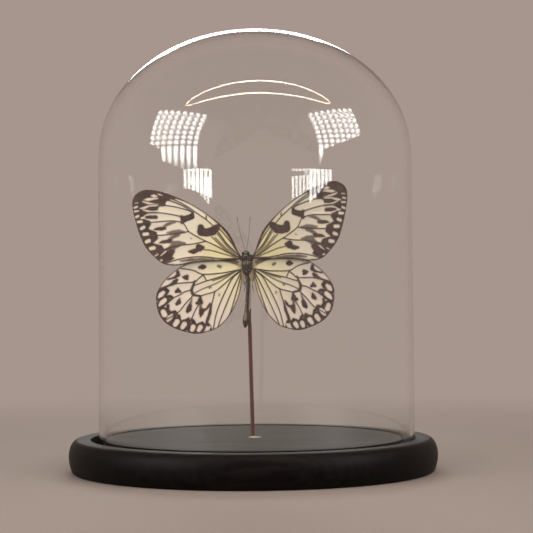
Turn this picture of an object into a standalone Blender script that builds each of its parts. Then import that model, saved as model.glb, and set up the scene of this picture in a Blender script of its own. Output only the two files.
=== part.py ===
"""A mounted tree-nymph butterfly on a thin rod, under a glass dome on a turned wooden base.

Metres, +Z up. The origin is the middle of the base's underside, and the specimen shows its back to -Y.
"""

import math

import bmesh
import bpy
from mathutils import Vector

MM = 0.001
GAP = 0.3 * MM  # air left between pieces that touch on the real object

# Base
BASE_HEIGHT = 17.5 * MM
BASE_RADIUS = 100 * MM
BASE_WAIST = 8.5 * MM  # height at which the edge is widest
TOP_FLAT_RADIUS = 95 * MM
BOTTOM_RADIUS = 98 * MM
BOTTOM_CHAMFER = 0.6 * MM
GROOVE_INNER = 80.5 * MM
GROOVE_OUTER = 88.1 * MM
GROOVE_DEPTH = 5 * MM
GROOVE_EASE = 0.4 * MM

# Glass dome
DOME_FOOT_RADIUS = 85.7 * MM
DOME_SHOULDER_RADIUS = 85.2 * MM
DOME_WALL = 2.2 * MM
DOME_TOP = 239 * MM
DOME_SHOULDER = 168.5 * MM
DOME_CROWN_POWER = 2.07  # 2 is an ellipse, and more is squarer
DOME_OFFSET = 1.9 * MM  # it was set down a little to the right in its wide groove

# Rod, glue and pin
ROD_RADIUS = 1.05 * MM
ROD_TIP_RADIUS = 0.35 * MM
ROD_TAPER_START = 61 * MM  # heights above the base's top
ROD_TIP = 70 * MM
ROD_FOOT_SHIFT = -0.3 * MM
ROD_LEAN = math.radians(1.25)
ROD_POINT_SHIFT = 0.75 * MM  # the point is whittled towards one side
GLUE_RADIUS = 3.6 * MM
GLUE_HEIGHT = 0.7 * MM
GLUE_SHIFT = 0.9 * MM
PIN_RADIUS = 0.22 * MM

# Specimen: local +X is its right-hand wing, -Y its back, +Z its head
THORAX_PLACE = Vector((-2.8, -4.6, 111.1)) * MM
SPECIMEN_YAW = math.radians(-11)
THORAX_HALF = Vector((2.8, 3.1, 5.2)) * MM
THORAX_SINK = -1.0 * MM
HEAD_HALF = Vector((2.05, 1.8, 1.6)) * MM
HEAD_PLACE = Vector((-0.7, -0.1, 6.2)) * MM
ABDOMEN_TOP = -6.5 * MM
ABDOMEN_LENGTH = 29 * MM
WING_THICKNESS = 0.3 * MM
WING_ROOT = 5.3 * MM  # height of the forewings' leading roots above the thorax's middle
HINDWING_SETBACK = 1.0 * MM

# Outlines in millimetres from the body's midline (out to the tip, up to the head)
FOREWING = [
    (4.2, 0.6), (10.2, 12.8), (20.4, 21.8), (31.8, 28.9), (43.8, 34.0), (51.6, 35.7), (57.0, 35.2),
    (61.1, 32.0), (61.9, 26.8), (60.0, 17.6), (57.0, 8.7), (54.3, 3.8), (49.8, -1.0), (44.8, -4.5),
    (37.0, -5.2), (26.6, -3.2), (8.4, -2.5), (4.2, -2.0),
]  # fmt: skip
HINDWING = [
    (4.2, -3.2), (15.0, 0.4), (26.0, -1.4), (34.0, -4.6), (39.4, -8.0), (44.0, -12.0), (47.5, -16.5),
    (49.7, -21.8), (49.0, -29.0), (46.4, -34.4), (41.2, -38.6), (33.3, -41.4), (26.6, -42.3),
    (17.6, -39.8), (12.8, -36.1), (8.7, -30.7), (4.6, -21.5), (3.5, -12.0),
]  # fmt: skip

# Angles in degrees: raise turns the tip towards the viewer, swing turns it towards the head
FOREWING_RAISE = {"left": 14, "right": 18.5}
HINDWING_RAISE = {"left": 12, "right": 15.5}
FOREWING_SWING = {"left": 0, "right": 2.8}
HINDWING_SWING = {"left": 0, "right": 3.8}
SIDES = {"left": -1, "right": 1}
ANTENNA_REACH = {-1: (-4.0, -3.0, 18.3), 1: (2.8, -3.0, 18.3)}  # millimetres


def clear_scene():
    for old in list(bpy.data.objects):
        bpy.data.objects.remove(old, do_unlink=True)


def material(name, colour, roughness, metallic=0.0, transmission=0.0):
    made = bpy.data.materials.new(name)
    made.use_nodes = True
    shader = made.node_tree.nodes["Principled BSDF"]
    shader.inputs["Base Color"].default_value = (*colour, 1.0)
    shader.inputs["Roughness"].default_value = roughness
    shader.inputs["Metallic"].default_value = metallic
    shader.inputs["Transmission Weight"].default_value = transmission
    return made


def add_object(name, data, finish, parent=None):
    made = bpy.data.objects.new(name, data)
    data.materials.append(finish)
    bpy.context.scene.collection.objects.link(made)
    made.parent = parent
    return made


def ellipse_arc(centre, half_width, half_height, start, end, steps, power=2.0):
    """Points of an arc from start to end, in degrees from the +X axis."""
    points = []
    for i in range(steps + 1):
        angle = math.radians(start + (end - start) * i / steps)
        across, up = math.cos(angle), math.sin(angle)
        x = centre[0] + half_width * math.copysign(abs(across) ** (2 / power), across)
        z = centre[1] + half_height * math.copysign(abs(up) ** (2 / power), up)
        points.append((x, z))
    return points


def turned(name, profile, steps, finish):
    """A solid turned about Z from a profile that runs down its outer side."""
    mesh = bpy.data.meshes.new(name)
    edges = [(i, i + 1) for i in range(len(profile) - 1)]
    mesh.from_pydata([(x, 0, z) for x, z in profile], edges, [])
    made = add_object(name, mesh, finish)
    screw = made.modifiers.new("Turn", "SCREW")
    screw.axis = "Z"
    screw.steps = screw.render_steps = steps
    screw.use_merge_vertices = True
    screw.merge_threshold = 0.01 * MM
    screw.use_smooth_shade = True
    return made


def make_base(finish):
    top = BASE_HEIGHT
    ease = GROOVE_EASE
    floor = top - GROOVE_DEPTH
    profile = [(0, top)]
    profile += ellipse_arc((GROOVE_INNER - ease, top - ease), ease, ease, 90, 0, 2)
    profile += [(GROOVE_INNER, floor), (GROOVE_OUTER, floor)]
    profile += ellipse_arc((GROOVE_OUTER + ease, top - ease), ease, ease, 180, 90, 2)
    edge_width = BASE_RADIUS - TOP_FLAT_RADIUS
    edge_height = top - BASE_WAIST
    profile += ellipse_arc((TOP_FLAT_RADIUS, BASE_WAIST), edge_width, edge_height, 90, 0, 7)
    for height in (0.66 * BASE_WAIST, 0.33 * BASE_WAIST, BOTTOM_CHAMFER):
        pull = ((BASE_WAIST - height) / BASE_WAIST) ** 2
        profile.append((BASE_RADIUS - (BASE_RADIUS - BOTTOM_RADIUS) * pull, height))
    profile += [(BOTTOM_RADIUS - BOTTOM_CHAMFER, 0), (0, 0)]
    return turned("base", profile, 64, finish)


def make_dome(finish):
    foot = BASE_HEIGHT - GROOVE_DEPTH + GAP
    wall = DOME_WALL
    rise = DOME_TOP - DOME_SHOULDER
    centre = (0, DOME_SHOULDER)
    outside = ellipse_arc(centre, DOME_SHOULDER_RADIUS, rise, 90, 0, 12, DOME_CROWN_POWER)
    inside = ellipse_arc(
        centre, DOME_SHOULDER_RADIUS - wall, rise - wall, 0, 90, 12, DOME_CROWN_POWER
    )
    rim = ellipse_arc((DOME_FOOT_RADIUS - wall / 2, foot + wall / 2), wall / 2, wall / 2, 0, -180, 4)
    dome = turned("glass_dome", outside + rim + inside, 56, finish)
    dome.location = (DOME_OFFSET, 0, 0)
    return dome


def rod_axis(height):
    """The point of the rod's axis at a height above the base's top."""
    taper = max(0, (height - ROD_TAPER_START) / (ROD_TIP - ROD_TAPER_START))
    x = ROD_FOOT_SHIFT - math.tan(ROD_LEAN) * height + ROD_POINT_SHIFT * taper**2
    return Vector((x, 0, BASE_HEIGHT + height))


def ring_of(centre, radius, around, depth=1.0):
    """Points of a level ring, drawn out by depth along Y."""
    made = []
    for k in range(around):
        angle = math.tau * k / around
        made.append(centre + Vector((math.cos(angle), depth * math.sin(angle), 0)) * radius)
    return made


def lofted(name, rings, finish, parent=None):
    """A closed solid through level rings of equal counts, with flat ends."""
    mesh = bpy.data.meshes.new(name)
    build = bmesh.new()
    loops = [[build.verts.new(point) for point in ring] for ring in rings]
    for a, b in zip(loops, loops[1:]):
        for k in range(len(a)):
            j = (k + 1) % len(a)
            build.faces.new((a[k], b[k], b[j], a[j]))
    build.faces.new(loops[0])
    build.faces.new(reversed(loops[-1]))
    bmesh.ops.recalc_face_normals(build, faces=build.faces)
    build.to_mesh(mesh)
    build.free()
    mesh.shade_smooth()
    mesh.set_sharp_from_angle(angle=math.radians(50))
    return add_object(name, mesh, finish, parent)


def make_rod(finish):
    """A plain round rod whose last stretch is whittled to a blunt point."""
    rings = [ring_of(rod_axis(GAP), ROD_RADIUS, 16), ring_of(rod_axis(ROD_TAPER_START), ROD_RADIUS, 16)]
    for t in (0.35, 0.7, 1.0):
        height = ROD_TAPER_START + t * (ROD_TIP - ROD_TAPER_START)
        radius = ROD_RADIUS + (ROD_TIP_RADIUS - ROD_RADIUS) * t
        rings.append(ring_of(rod_axis(height), radius, 16))
    return lofted("rod", rings, finish)


def make_glue(finish):
    """A flat skirt with a hole that clears the rod, thin at its outer edge."""
    hole = ROD_RADIUS + GAP
    profile = [(hole, GLUE_HEIGHT), (0.45 * GLUE_RADIUS, 0.4 * GLUE_HEIGHT)]
    profile += [(GLUE_RADIUS, 0.1 * GLUE_HEIGHT), (GLUE_RADIUS, 0), (hole, 0)]
    mesh = bpy.data.meshes.new("glue_bead")
    build = bmesh.new()
    rings = []
    steps = 24
    for x, z in profile:
        ring = []
        for i in range(steps):
            angle = math.tau * i / steps
            shift = GLUE_SHIFT * max(0, (x - hole) / (GLUE_RADIUS - hole))
            ring.append(build.verts.new((shift + x * math.cos(angle), x * math.sin(angle), z)))
        rings.append(ring)
    for a, b in zip(rings, rings[1:] + rings[:1]):
        for i in range(steps):
            j = (i + 1) % steps
            build.faces.new((a[i], b[i], b[j], a[j]))
    bmesh.ops.recalc_face_normals(build, faces=build.faces)
    build.to_mesh(mesh)
    build.free()
    glue = add_object("glue_bead", mesh, finish)
    glue.location = (ROD_FOOT_SHIFT, 0, BASE_HEIGHT + GAP)
    return glue


def tube(name, points, radii, finish, parent=None, sides=2):
    """A rod of round section along a smooth line, closed at both ends."""
    curve = bpy.data.curves.new(name, "CURVE")
    curve.dimensions = "3D"
    curve.bevel_depth = 1.0
    curve.bevel_resolution = sides
    curve.use_fill_caps = True
    curve.use_radius = True
    spline = curve.splines.new("POLY")
    spline.points.add(len(points) - 1)
    for point, place, radius in zip(spline.points, points, radii):
        point.co = (*place, 1)
        point.radius = radius
    return add_object(name, curve, finish, parent)


def make_pin(finish):
    """A wire from the rod's point, straight up behind the body, then bent forward to its underside."""
    start = rod_axis(ROD_TIP) + Vector((0, 0, GAP + PIN_RADIUS))
    ventral = Vector((-math.sin(SPECIMEN_YAW), math.cos(SPECIMEN_YAW), 0))
    end = THORAX_PLACE + ventral * (THORAX_HALF.y + GAP + PIN_RADIUS)
    points = []
    for i in range(15):
        t = i / 14
        bend = t**5
        place = start.lerp(end, bend)
        place.z = start.z + (end.z - start.z) * t
        points.append(place)
    return tube("mounting_pin", points, [PIN_RADIUS] * len(points), finish)


def egg(name, half, place, finish, parent):
    """A closed egg with the given half sizes."""
    mesh = bpy.data.meshes.new(name)
    build = bmesh.new()
    bmesh.ops.create_uvsphere(build, u_segments=18, v_segments=10, radius=1.0)
    bmesh.ops.scale(build, vec=half, verts=build.verts)
    build.to_mesh(mesh)
    build.free()
    mesh.shade_smooth()
    made = add_object(name, mesh, finish, parent)
    made.location = place
    return made


def abdomen_radius(t):
    """Half width along the abdomen: a slim waist, and a bulb before the tip."""
    bulb = math.exp(-(((t - 0.84) / 0.13) ** 2))
    end = math.sqrt(max(0.0, 1 - max(0.0, (t - 0.8) / 0.2) ** 2.5))
    start = min(1.0, math.sqrt(t / 0.06)) if t < 0.06 else 1.0
    return (1.0 + 0.25 * t + 0.65 * bulb) * MM * end * start


def make_abdomen(finish, parent):
    rings = []
    steps = 24
    for i in range(1, steps):
        t = i / steps
        drift = (0.35 - 1.3 * t * t) * MM
        back = (0.8 * math.sin(math.pi * t) - 0.4) * MM
        centre = Vector((drift, back, ABDOMEN_TOP - ABDOMEN_LENGTH * t))
        rings.append(ring_of(centre, abdomen_radius(t), 14, depth=1.12))
    return lofted("abdomen", rings, finish, parent)


def smooth_outline(points, per_span):
    """A closed smooth curve through the points (Catmull-Rom)."""
    made = []
    count = len(points)
    for i in range(count):
        p0, p1, p2, p3 = (Vector(points[(i + k) % count]) for k in (-1, 0, 1, 2))
        for k in range(per_span):
            t = k / per_span
            a = 2 * p1 + (p2 - p0) * t
            b = (2 * p0 - 5 * p1 + 4 * p2 - p3) * t * t
            c = (3 * p1 - p0 - 3 * p2 + p3) * t * t * t
            made.append((a + b + c) / 2)
    return made


def make_wing(name, outline, side, raise_angle, swing, setback, finish, parent):
    """A thin flat plate that hinges on the body's midline."""
    mesh = bpy.data.meshes.new(name)
    build = bmesh.new()
    corners = []
    for out, up in smooth_outline(outline, 3):
        corners.append(build.verts.new((side * out * MM, 0, up * MM)))
    face = build.faces.new(corners)
    swept = bmesh.ops.extrude_face_region(build, geom=[face])
    moved = [v for v in swept["geom"] if isinstance(v, bmesh.types.BMVert)]
    bmesh.ops.translate(build, vec=(0, WING_THICKNESS, 0), verts=moved)
    bmesh.ops.recalc_face_normals(build, faces=build.faces)
    build.to_mesh(mesh)
    build.free()
    wing = add_object(name, mesh, finish, parent)
    wing.location = (0, setback, WING_ROOT)
    wing.rotation_euler = (0, -side * math.radians(swing), -side * math.radians(raise_angle))
    return wing


def make_antenna(side, finish, parent):
    """A stiff thread from the head, with a slight club at its tip."""
    start = HEAD_PLACE + Vector((side * 0.25 + 0.25, -0.9, 1.75)) * MM
    reach = ANTENNA_REACH[side]
    points, radii = [], []
    for i in range(13):
        t = i / 12
        bow = 0.35 * MM * math.sin(math.pi * t)
        points.append(start + Vector(reach) * MM * t + Vector((side * bow, 0, 0)))
        radii.append((0.13 + 0.09 * max(0, (t - 0.75) / 0.25)) * MM)
    name = "antenna_left" if side < 0 else "antenna_right"
    return tube(name, points, radii, finish, parent)


def make_leg(name, side, knee, ankle, toe, height, finish, parent):
    """A jointed leg folded against the underside of the body."""
    hip = Vector((side * 1.5, 3.0, height))
    stops = [hip, Vector((side * knee[0], *knee[1:])), Vector((side * ankle[0], *ankle[1:]))]
    stops.append(Vector((side * toe[0], *toe[1:])))
    points = [p * MM for p in stops]
    radii = [r * MM for r in (0.3, 0.28, 0.2, 0.12)]
    return tube(name, points, radii, finish, parent)


def make_specimen():
    specimen = bpy.data.objects.new("specimen", None)
    bpy.context.scene.collection.objects.link(specimen)
    specimen.location = THORAX_PLACE
    specimen.rotation_euler = (0, 0, SPECIMEN_YAW)
    black = material("black body scales", (0.012, 0.010, 0.010), 0.75)
    brown = material("brown body scales", (0.09, 0.06, 0.045), 0.75)
    cream = material("cream wing membrane", (0.72, 0.68, 0.50), 0.6)
    egg("thorax", THORAX_HALF, (0, 0, THORAX_SINK), black, specimen)
    egg("head", HEAD_HALF, HEAD_PLACE, black, specimen)
    make_abdomen(brown, specimen)
    for word, side in SIDES.items():
        make_wing(
            f"forewing_{word}", FOREWING, side, FOREWING_RAISE[word], FOREWING_SWING[word],
            0, cream, specimen,
        )  # fmt: skip
        make_wing(
            f"hindwing_{word}", HINDWING, side, HINDWING_RAISE[word], HINDWING_SWING[word],
            HINDWING_SETBACK, cream, specimen,
        )  # fmt: skip
        make_antenna(side, black, specimen)
        make_leg(
            f"leg_mid_{word}", side, (2.6, 4.4, -3.0), (1.6, 5.2, -8.2), (2.3, 5.4, -11.0),
            0.0, black, specimen,
        )  # fmt: skip
        make_leg(
            f"leg_hind_{word}", side, (2.9, 3.9, -6.4), (1.9, 4.1, -11.6), (2.5, 4.3, -14.4),
            -3.2, black, specimen,
        )  # fmt: skip


def main():
    clear_scene()
    stained = material("black stained wood", (0.014, 0.010, 0.009), 0.35)
    glass = material("clear glass", (0.95, 0.97, 0.95), 0.02, transmission=1.0)
    red_brown = material("red-brown stained wood", (0.055, 0.016, 0.012), 0.45)
    glue = material("dried glue", (0.45, 0.40, 0.36), 0.35)
    steel = material("steel wire", (0.42, 0.40, 0.38), 0.35, metallic=1.0)
    make_base(stained)
    make_dome(glass)
    make_rod(red_brown)
    make_glue(glue)
    make_pin(steel)
    make_specimen()


main()
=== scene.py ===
# %% [markdown]
# # A tree-nymph butterfly under a glass dome
# This lesson finishes a mounted butterfly: a turned base of black-stained wood, a blown glass dome,
# a thin rod with a pin, and a dried paper-like butterfly with its wings spread.
# The construction is already there as a fixed frame of plain solids at their real size.
# Every cell below makes one piece or one finish around that frame.
#
# Lengths in the code are millimetres, because that is how a maker would measure the piece.
# The helper that makes a mesh turns them into Blender's metres at the last moment.

import math

import bpy
import numpy as np
from mathutils import Matrix, Vector
from mathutils.geometry import delaunay_2d_cdt


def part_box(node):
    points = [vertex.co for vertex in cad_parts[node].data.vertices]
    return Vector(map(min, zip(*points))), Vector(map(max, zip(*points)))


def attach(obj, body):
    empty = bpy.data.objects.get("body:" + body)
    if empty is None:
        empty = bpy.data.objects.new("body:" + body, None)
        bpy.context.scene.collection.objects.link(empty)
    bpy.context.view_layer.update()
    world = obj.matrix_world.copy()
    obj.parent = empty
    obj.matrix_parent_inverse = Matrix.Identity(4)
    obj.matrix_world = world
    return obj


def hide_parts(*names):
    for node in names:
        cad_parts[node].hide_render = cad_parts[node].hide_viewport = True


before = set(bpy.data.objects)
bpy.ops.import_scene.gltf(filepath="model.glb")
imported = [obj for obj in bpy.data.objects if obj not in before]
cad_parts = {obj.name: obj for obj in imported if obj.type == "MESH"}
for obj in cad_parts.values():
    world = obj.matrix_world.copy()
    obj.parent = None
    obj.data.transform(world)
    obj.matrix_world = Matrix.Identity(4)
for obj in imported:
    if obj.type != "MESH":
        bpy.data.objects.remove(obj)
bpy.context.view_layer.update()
MM = 0.001

# %% [markdown]
# ## A mesh from points
# Blender can make a mesh with operators, with bmesh or straight from lists of points and faces.
# The pieces here come from formulas, so the last way is the shortest: numpy works out the points,
# and one helper turns them into an object with smooth shading.
# Extra values on the points, called attributes, carry things such as where the dark scales lie.

# %% Mesh helpers
def shape(name, parts, finishes, at=Matrix.Identity(4), values=None):
    """An object from (points in mm, faces) parts, each with the finish of the same rank."""
    mesh = bpy.data.meshes.new(name)
    points, faces, ranks = [], [], []
    for rank, (part_points, part_faces) in enumerate(parts):
        faces += [tuple(int(i) + len(points) for i in face) for face in part_faces]
        points += [tuple(float(x) * MM for x in point) for point in part_points]
        ranks += [min(rank, len(finishes) - 1)] * len(part_faces)
    mesh.from_pydata(points, [], faces)
    for finish in finishes:
        mesh.materials.append(finish)
    mesh.polygons.foreach_set("material_index", ranks)
    for title, numbers in (values or {}).items():
        attribute = mesh.attributes.new(title, "FLOAT", "POINT")
        filled = np.zeros(len(points), np.float32)
        filled[: len(numbers)] = numbers
        attribute.data.foreach_set("value", filled)
    mesh.validate()
    mesh.shade_smooth()
    made = bpy.data.objects.new(name, mesh)
    bpy.context.scene.collection.objects.link(made)
    made.matrix_world = at
    print(f"{name}: {len(points)} points, {len(faces)} faces")
    return made


def joined(parts):
    """Several (points, faces) parts as one."""
    points, faces, count = [], [], 0
    for part_points, part_faces in parts:
        points.append(np.asarray(part_points, float))
        faces += [tuple(int(i) + count for i in face) for face in part_faces]
        count += len(part_points)
    return np.concatenate(points), faces


def stand_in(piece, slot, *nodes):
    """The piece rides on the object's only body and takes the place of CAD nodes."""
    if nodes:
        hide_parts(*nodes)
    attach(piece, "root")


# %% [markdown]
# ## Shader maths in Python
# A procedural finish is a graph of nodes, and long sums are hard to read as a graph.
# A small class wraps a node's output, so that `1 - mask * 0.5` adds the Math nodes by itself.
# Everything else, from noise to the surface shader, goes through one method that makes a node.

# %% Finishes
class Value:
    """The output of a node, ready for sums."""

    def __init__(self, finish, socket):
        self.finish = finish
        self.socket = socket

    def maths(self, operation, *terms):
        return self.finish.node("ShaderNodeMath", {"operation": operation}, *terms)

    def __add__(self, other):
        return self.maths("ADD", self, other)

    def __radd__(self, other):
        return self.maths("ADD", other, self)

    def __sub__(self, other):
        return self.maths("SUBTRACT", self, other)

    def __rsub__(self, other):
        return self.maths("SUBTRACT", other, self)

    def __mul__(self, other):
        return self.maths("MULTIPLY", self, other)

    def __rmul__(self, other):
        return self.maths("MULTIPLY", other, self)


class Finish:
    """A material that is built up node by node."""

    def __init__(self, name):
        self.material = bpy.data.materials.new(name)
        self.material.use_nodes = True
        self.tree = self.material.node_tree
        self.tree.nodes.clear()

    def node(self, kind, settings, *values, out=0, **named):
        """A node with its settings, then its inputs in order or by name, as one of its outputs."""
        made = self.tree.nodes.new(kind)
        for key, value in settings.items():
            setattr(made, key, value)
        shown = [socket for socket in made.inputs if socket.enabled]
        pairs = list(zip(shown, values))
        for name, value in named.items():
            pairs.append((next(s for s in shown if s.name == name.replace("_", " ")), value))
        for socket, value in pairs:
            if isinstance(value, Value):
                self.tree.links.new(value.socket, socket)
            else:
                socket.default_value = value
        usable = [socket for socket in made.outputs if socket.enabled]
        return Value(self, usable[out]) if usable else None

    def place(self):
        """Where a point lies on its own piece, in metres."""
        return self.node("ShaderNodeTexCoord", {}, out=3)

    def stored(self, title):
        """A number that the mesh keeps on its points."""
        return self.node("ShaderNodeAttribute", {"attribute_name": title}, out=2)

    def noise(self, where, size, detail=3.0, roughness=0.5, stretch=None):
        """Cloudy noise from 0 to 1, with patches about size millimetres across."""
        if stretch:
            settings = {"operation": "MULTIPLY"}
            where = self.node("ShaderNodeVectorMath", settings, where, stretch)
        return self.node(
            "ShaderNodeTexNoise", {}, Vector=where, Scale=1 / (size * MM), Detail=detail,
            Roughness=roughness,
        )  # fmt: skip

    def fade(self, value, start, end):
        """0 before start, 1 after end, and smooth between them. Start may be the larger one."""
        settings = {"interpolation_type": "SMOOTHSTEP"}
        return self.node("ShaderNodeMapRange", settings, value, start, end, 0.0, 1.0)

    def mix(self, share, first, second):
        """A blend of two colours."""
        return self.node("ShaderNodeMix", {"data_type": "RGBA"}, Factor=share, A=first, B=second)

    def bump(self, height, depth, strength=1.0):
        """A surface relief from a value of 0 to 1, depth millimetres deep."""
        return self.node("ShaderNodeBump", {}, Strength=strength, Distance=depth * MM, Height=height)

    def surface(self, shader):
        """Puts a shader on the material and returns the material."""
        self.node("ShaderNodeOutputMaterial", {}, Surface=shader)
        return self.material


def colour(red, green, blue):
    """A colour from its values on a screen, 0 to 255, as the linear numbers that shaders use."""
    linear = []
    for level in (red, green, blue):
        share = level / 255
        linear.append(share / 12.92 if share <= 0.04045 else ((share + 0.055) / 1.055) ** 2.4)
    return (*linear, 1.0)


# %% [markdown]
# ## The camera
# The camera stands in front of the butterfly's back, a little above the base's top, and far enough
# off to keep the wings free of distortion. Its small tilt and roll are a hand-held camera's.
# It comes early, because every later choice is judged through it.

# %% Camera
LENS = 111.4
EYE = Vector((0, -900, 96.1)) * MM
PAN, TILT, ROLL = (math.radians(a) for a in (-0.493, 0.910, -0.385))

camera = bpy.data.objects.new("camera", bpy.data.cameras.new("camera"))
bpy.context.scene.collection.objects.link(camera)
bpy.context.scene.camera = camera
camera.data.lens = LENS
camera.data.clip_start = 0.01
turn = Matrix.Rotation(PAN, 4, "Z") @ Matrix.Rotation(math.pi / 2 + TILT, 4, "X")
camera.matrix_world = Matrix.Translation(EYE) @ turn @ Matrix.Rotation(ROLL, 4, "Z")
print("the camera is", round(-EYE.y, 2), "m in front of the rod")

# %% [markdown]
# ## The room
# A clear dome is drawn by what it reflects, so the room matters as much as the glass.
# The wall is the world's colour: plain, warm and pale from every side, with no edge to hide.
# The floor is a wide disc in a pale finish. Near the object it takes real light and shadow, and
# further out it melts into the wall's colour, which hides the horizon as a studio's curved
# backdrop does.

# %% World and floor
WALL = colour(167, 150, 142)
FLOOR_NEAR = 260  # mm from the middle: where the floor starts to melt into the wall
FLOOR_FAR = 700
FLOOR_RADIUS = 6000

scene = bpy.context.scene
scene.view_settings.view_transform = "Standard"
scene.cycles.caustics_reflective = False
scene.cycles.caustics_refractive = False
world = bpy.data.worlds.new("pale room")
scene.world = world
world.use_nodes = True
world.node_tree.nodes["Background"].inputs["Color"].default_value = WALL


def floor_finish():
    finish = Finish("pale floor")
    where = finish.place()
    away = finish.node("ShaderNodeVectorMath", {"operation": "LENGTH"}, where, out=0)
    melt = finish.fade(away, FLOOR_NEAR * MM, FLOOR_FAR * MM)
    grain = finish.noise(where, 1.5)
    paper = finish.mix(grain, colour(114, 105, 101), colour(120, 111, 107))
    lit = finish.node("ShaderNodeBsdfPrincipled", {}, Base_Color=paper, Roughness=0.8)
    glow = finish.node("ShaderNodeEmission", {}, Color=WALL)
    return finish.surface(finish.node("ShaderNodeMixShader", {}, melt, lit, glow))


def lathe(profile, steps):
    """Points and faces of a profile of (radius, height) turned about Z. A radius of 0 is a pole."""
    points, rings = [], []
    angles = np.arange(steps) * math.tau / steps
    for radius, height in profile:
        start = len(points)
        if radius == 0:
            points.append((0, 0, height))
            rings.append([start] * steps)
            continue
        points += [(radius * math.cos(a), radius * math.sin(a), height) for a in angles]
        rings.append(list(range(start, start + steps)))
    faces = []
    for above, below in zip(rings, rings[1:]):
        for k in range(steps):
            j = (k + 1) % steps
            corners = [above[k], below[k], below[j], above[j]]
            faces.append(list(dict.fromkeys(corners)))
    return points, faces


floor = shape("floor", [lathe([(0, 0), (300, 0), (FLOOR_RADIUS, 0)], 96)], [floor_finish()])
floor.location.z = -0.3 * MM

# %% [markdown]
# ## Soft panels
# Two tall panels stand in front to the left and right. Each has an egg-crate grille, and the dome's
# shoulders show them as small bright windows of crossing bars. A low strip beneath each adds a
# smaller window further down. A panel behind draws the bright line along the crown, and a warm oval
# ring lamp overhead draws the two thin arcs below it.
# The fill in front only lights: no reflection shows it. The crown and ring lamps show in the
# glass's outer face alone, which keeps their lines single and thin.
# They are glowing sheets and not lamps, because only a sheet can carry the grille's pattern.
# Their places and sizes are in metres, which suit a room better than millimetres.

# %% Lights
def panel_finish(name, tint, strength, columns, rows):
    """A glowing sheet, dimmed along the bars of its grille."""
    finish = Finish(name)
    where = finish.node("ShaderNodeTexCoord", {}, out=0)
    bright = strength
    for axis, count, depth in ((0, columns, 1.0), (1, rows, 0.8)):
        if count:
            line = finish.node("ShaderNodeSeparateXYZ", {}, where, out=axis)
            wave = line.maths("SINE", line * (math.pi * count))
            bar = 1 - finish.fade(wave * wave, 0.08, 0.8)
            bright = (1 - bar * depth) * bright
    glow = finish.node("ShaderNodeEmission", {}, Color=tint, Strength=bright)
    return finish.surface(glow)


def rectangle(width, height, lower=((-0.5, 0), (0.5, 0))):
    """A flat sheet. Lower lists points of its lower edge: a share of the width, and a rise."""
    edge = [(width * share, rise - height / 2, 0) for share, rise in lower]
    points = edge + [(width / 2, height / 2, 0), (-width / 2, height / 2, 0)]
    return points, [tuple(range(len(points)))]


def ring(width, depth, tube, steps=96):
    """A flat oval ring."""
    points, faces = [], []
    for k in range(steps):
        x, y = math.cos(math.tau * k / steps), math.sin(math.tau * k / steps)
        points.append((width / 2 * x, depth / 2 * y, 0))
        points.append(((width / 2 + tube) * x, (depth / 2 + tube) * y, 0))
        j = 2 * ((k + 1) % steps)
        faces.append((2 * k, 2 * k + 1, j + 1, j))
    return points, faces


def panel(name, centre, outline, aim, tint, strength, columns=0, rows=0):
    """A flat light, in metres, that faces a point and that the camera can't see."""
    mesh = bpy.data.meshes.new(name)
    mesh.from_pydata(outline[0], [], outline[1])
    mesh.materials.append(panel_finish(name, tint, strength, columns, rows))
    made = bpy.data.objects.new(name, mesh)
    bpy.context.scene.collection.objects.link(made)
    made.location = centre
    made.rotation_mode = "QUATERNION"
    made.rotation_quaternion = (Vector(aim) - Vector(centre)).to_track_quat("Z", "Y")
    made.visible_camera = False
    made.visible_shadow = False
    return made


COOL_WHITE = (1.0, 0.98, 0.96, 1.0)
WARM_WHITE = (1.0, 0.82, 0.62, 1.0)
DOME_MIDDLE = (0, 0, 0.17)
left_sheet = rectangle(1.02, 0.8, ((-0.5, 0.02), (0.2, 0.04), (0.5, 0.18)))
panel("left_panel", (-1.13, -0.66, 0.62), left_sheet, DOME_MIDDLE, COOL_WHITE, 18.0, 8, 8)
right_sheet = rectangle(0.92, 0.8, ((-0.5, 0.3), (0.1, 0.11), (0.5, 0.03)))
panel("right_panel", (1.16, -0.6, 0.62), right_sheet, DOME_MIDDLE, COOL_WHITE, 18.0, 8, 8)
left_strip = rectangle(0.5, 0.036, ((-0.5, 0), (0.5, 0.014)))
panel("left_strip", (-0.843, -0.99, 0.24), left_strip, DOME_MIDDLE, COOL_WHITE, 14.0, 7)
right_strip = rectangle(0.4, 0.043, ((-0.5, 0.031), (0.5, 0)))
panel("right_strip", (0.943, -0.91, 0.2355), right_strip, DOME_MIDDLE, COOL_WHITE, 14.0, 6)
crown_sheet = rectangle(0.54, 0.29)
crown = panel("crown_panel", (-0.06, 1.05, 0.645), crown_sheet, DOME_MIDDLE, COOL_WHITE, 7.0)
warm = panel("warm_ring", (0.04, -0.65, 1.4), ring(2.6, 0.3, 0.03), DOME_MIDDLE, WARM_WHITE, 40.0)
fill = panel("front_fill", (0.5, -1.9, 0.8), rectangle(1.6, 1.2), DOME_MIDDLE, COOL_WHITE, 4.6)
fill.visible_glossy = False
for lamp in (crown, warm, fill):
    lamp.visible_transmission = False

# %% [markdown]
# ## The turned base
# The base is one disc of wood turned on a lathe: a flat top, a rolled-over edge and a groove that
# the dome stands in. A lathe is also the way to model it: one profile, turned about the axis.
# The construction solid has 64 sides, which would show along the rim, so this finer turning stands
# in for it. The profile is worked out from the frame's own box.

# %% Base
_, base_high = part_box("base")
BASE_TOP = base_high.z / MM
BASE_RADIUS = base_high.x / MM
BASE_WAIST = 8.5
TOP_FLAT = 95
UNDERSIDE = 98
GROOVE = (80.5, 88.1)
GROOVE_DEPTH = 5
EASE = 0.4
TURNED_STEPS = 256


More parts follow.
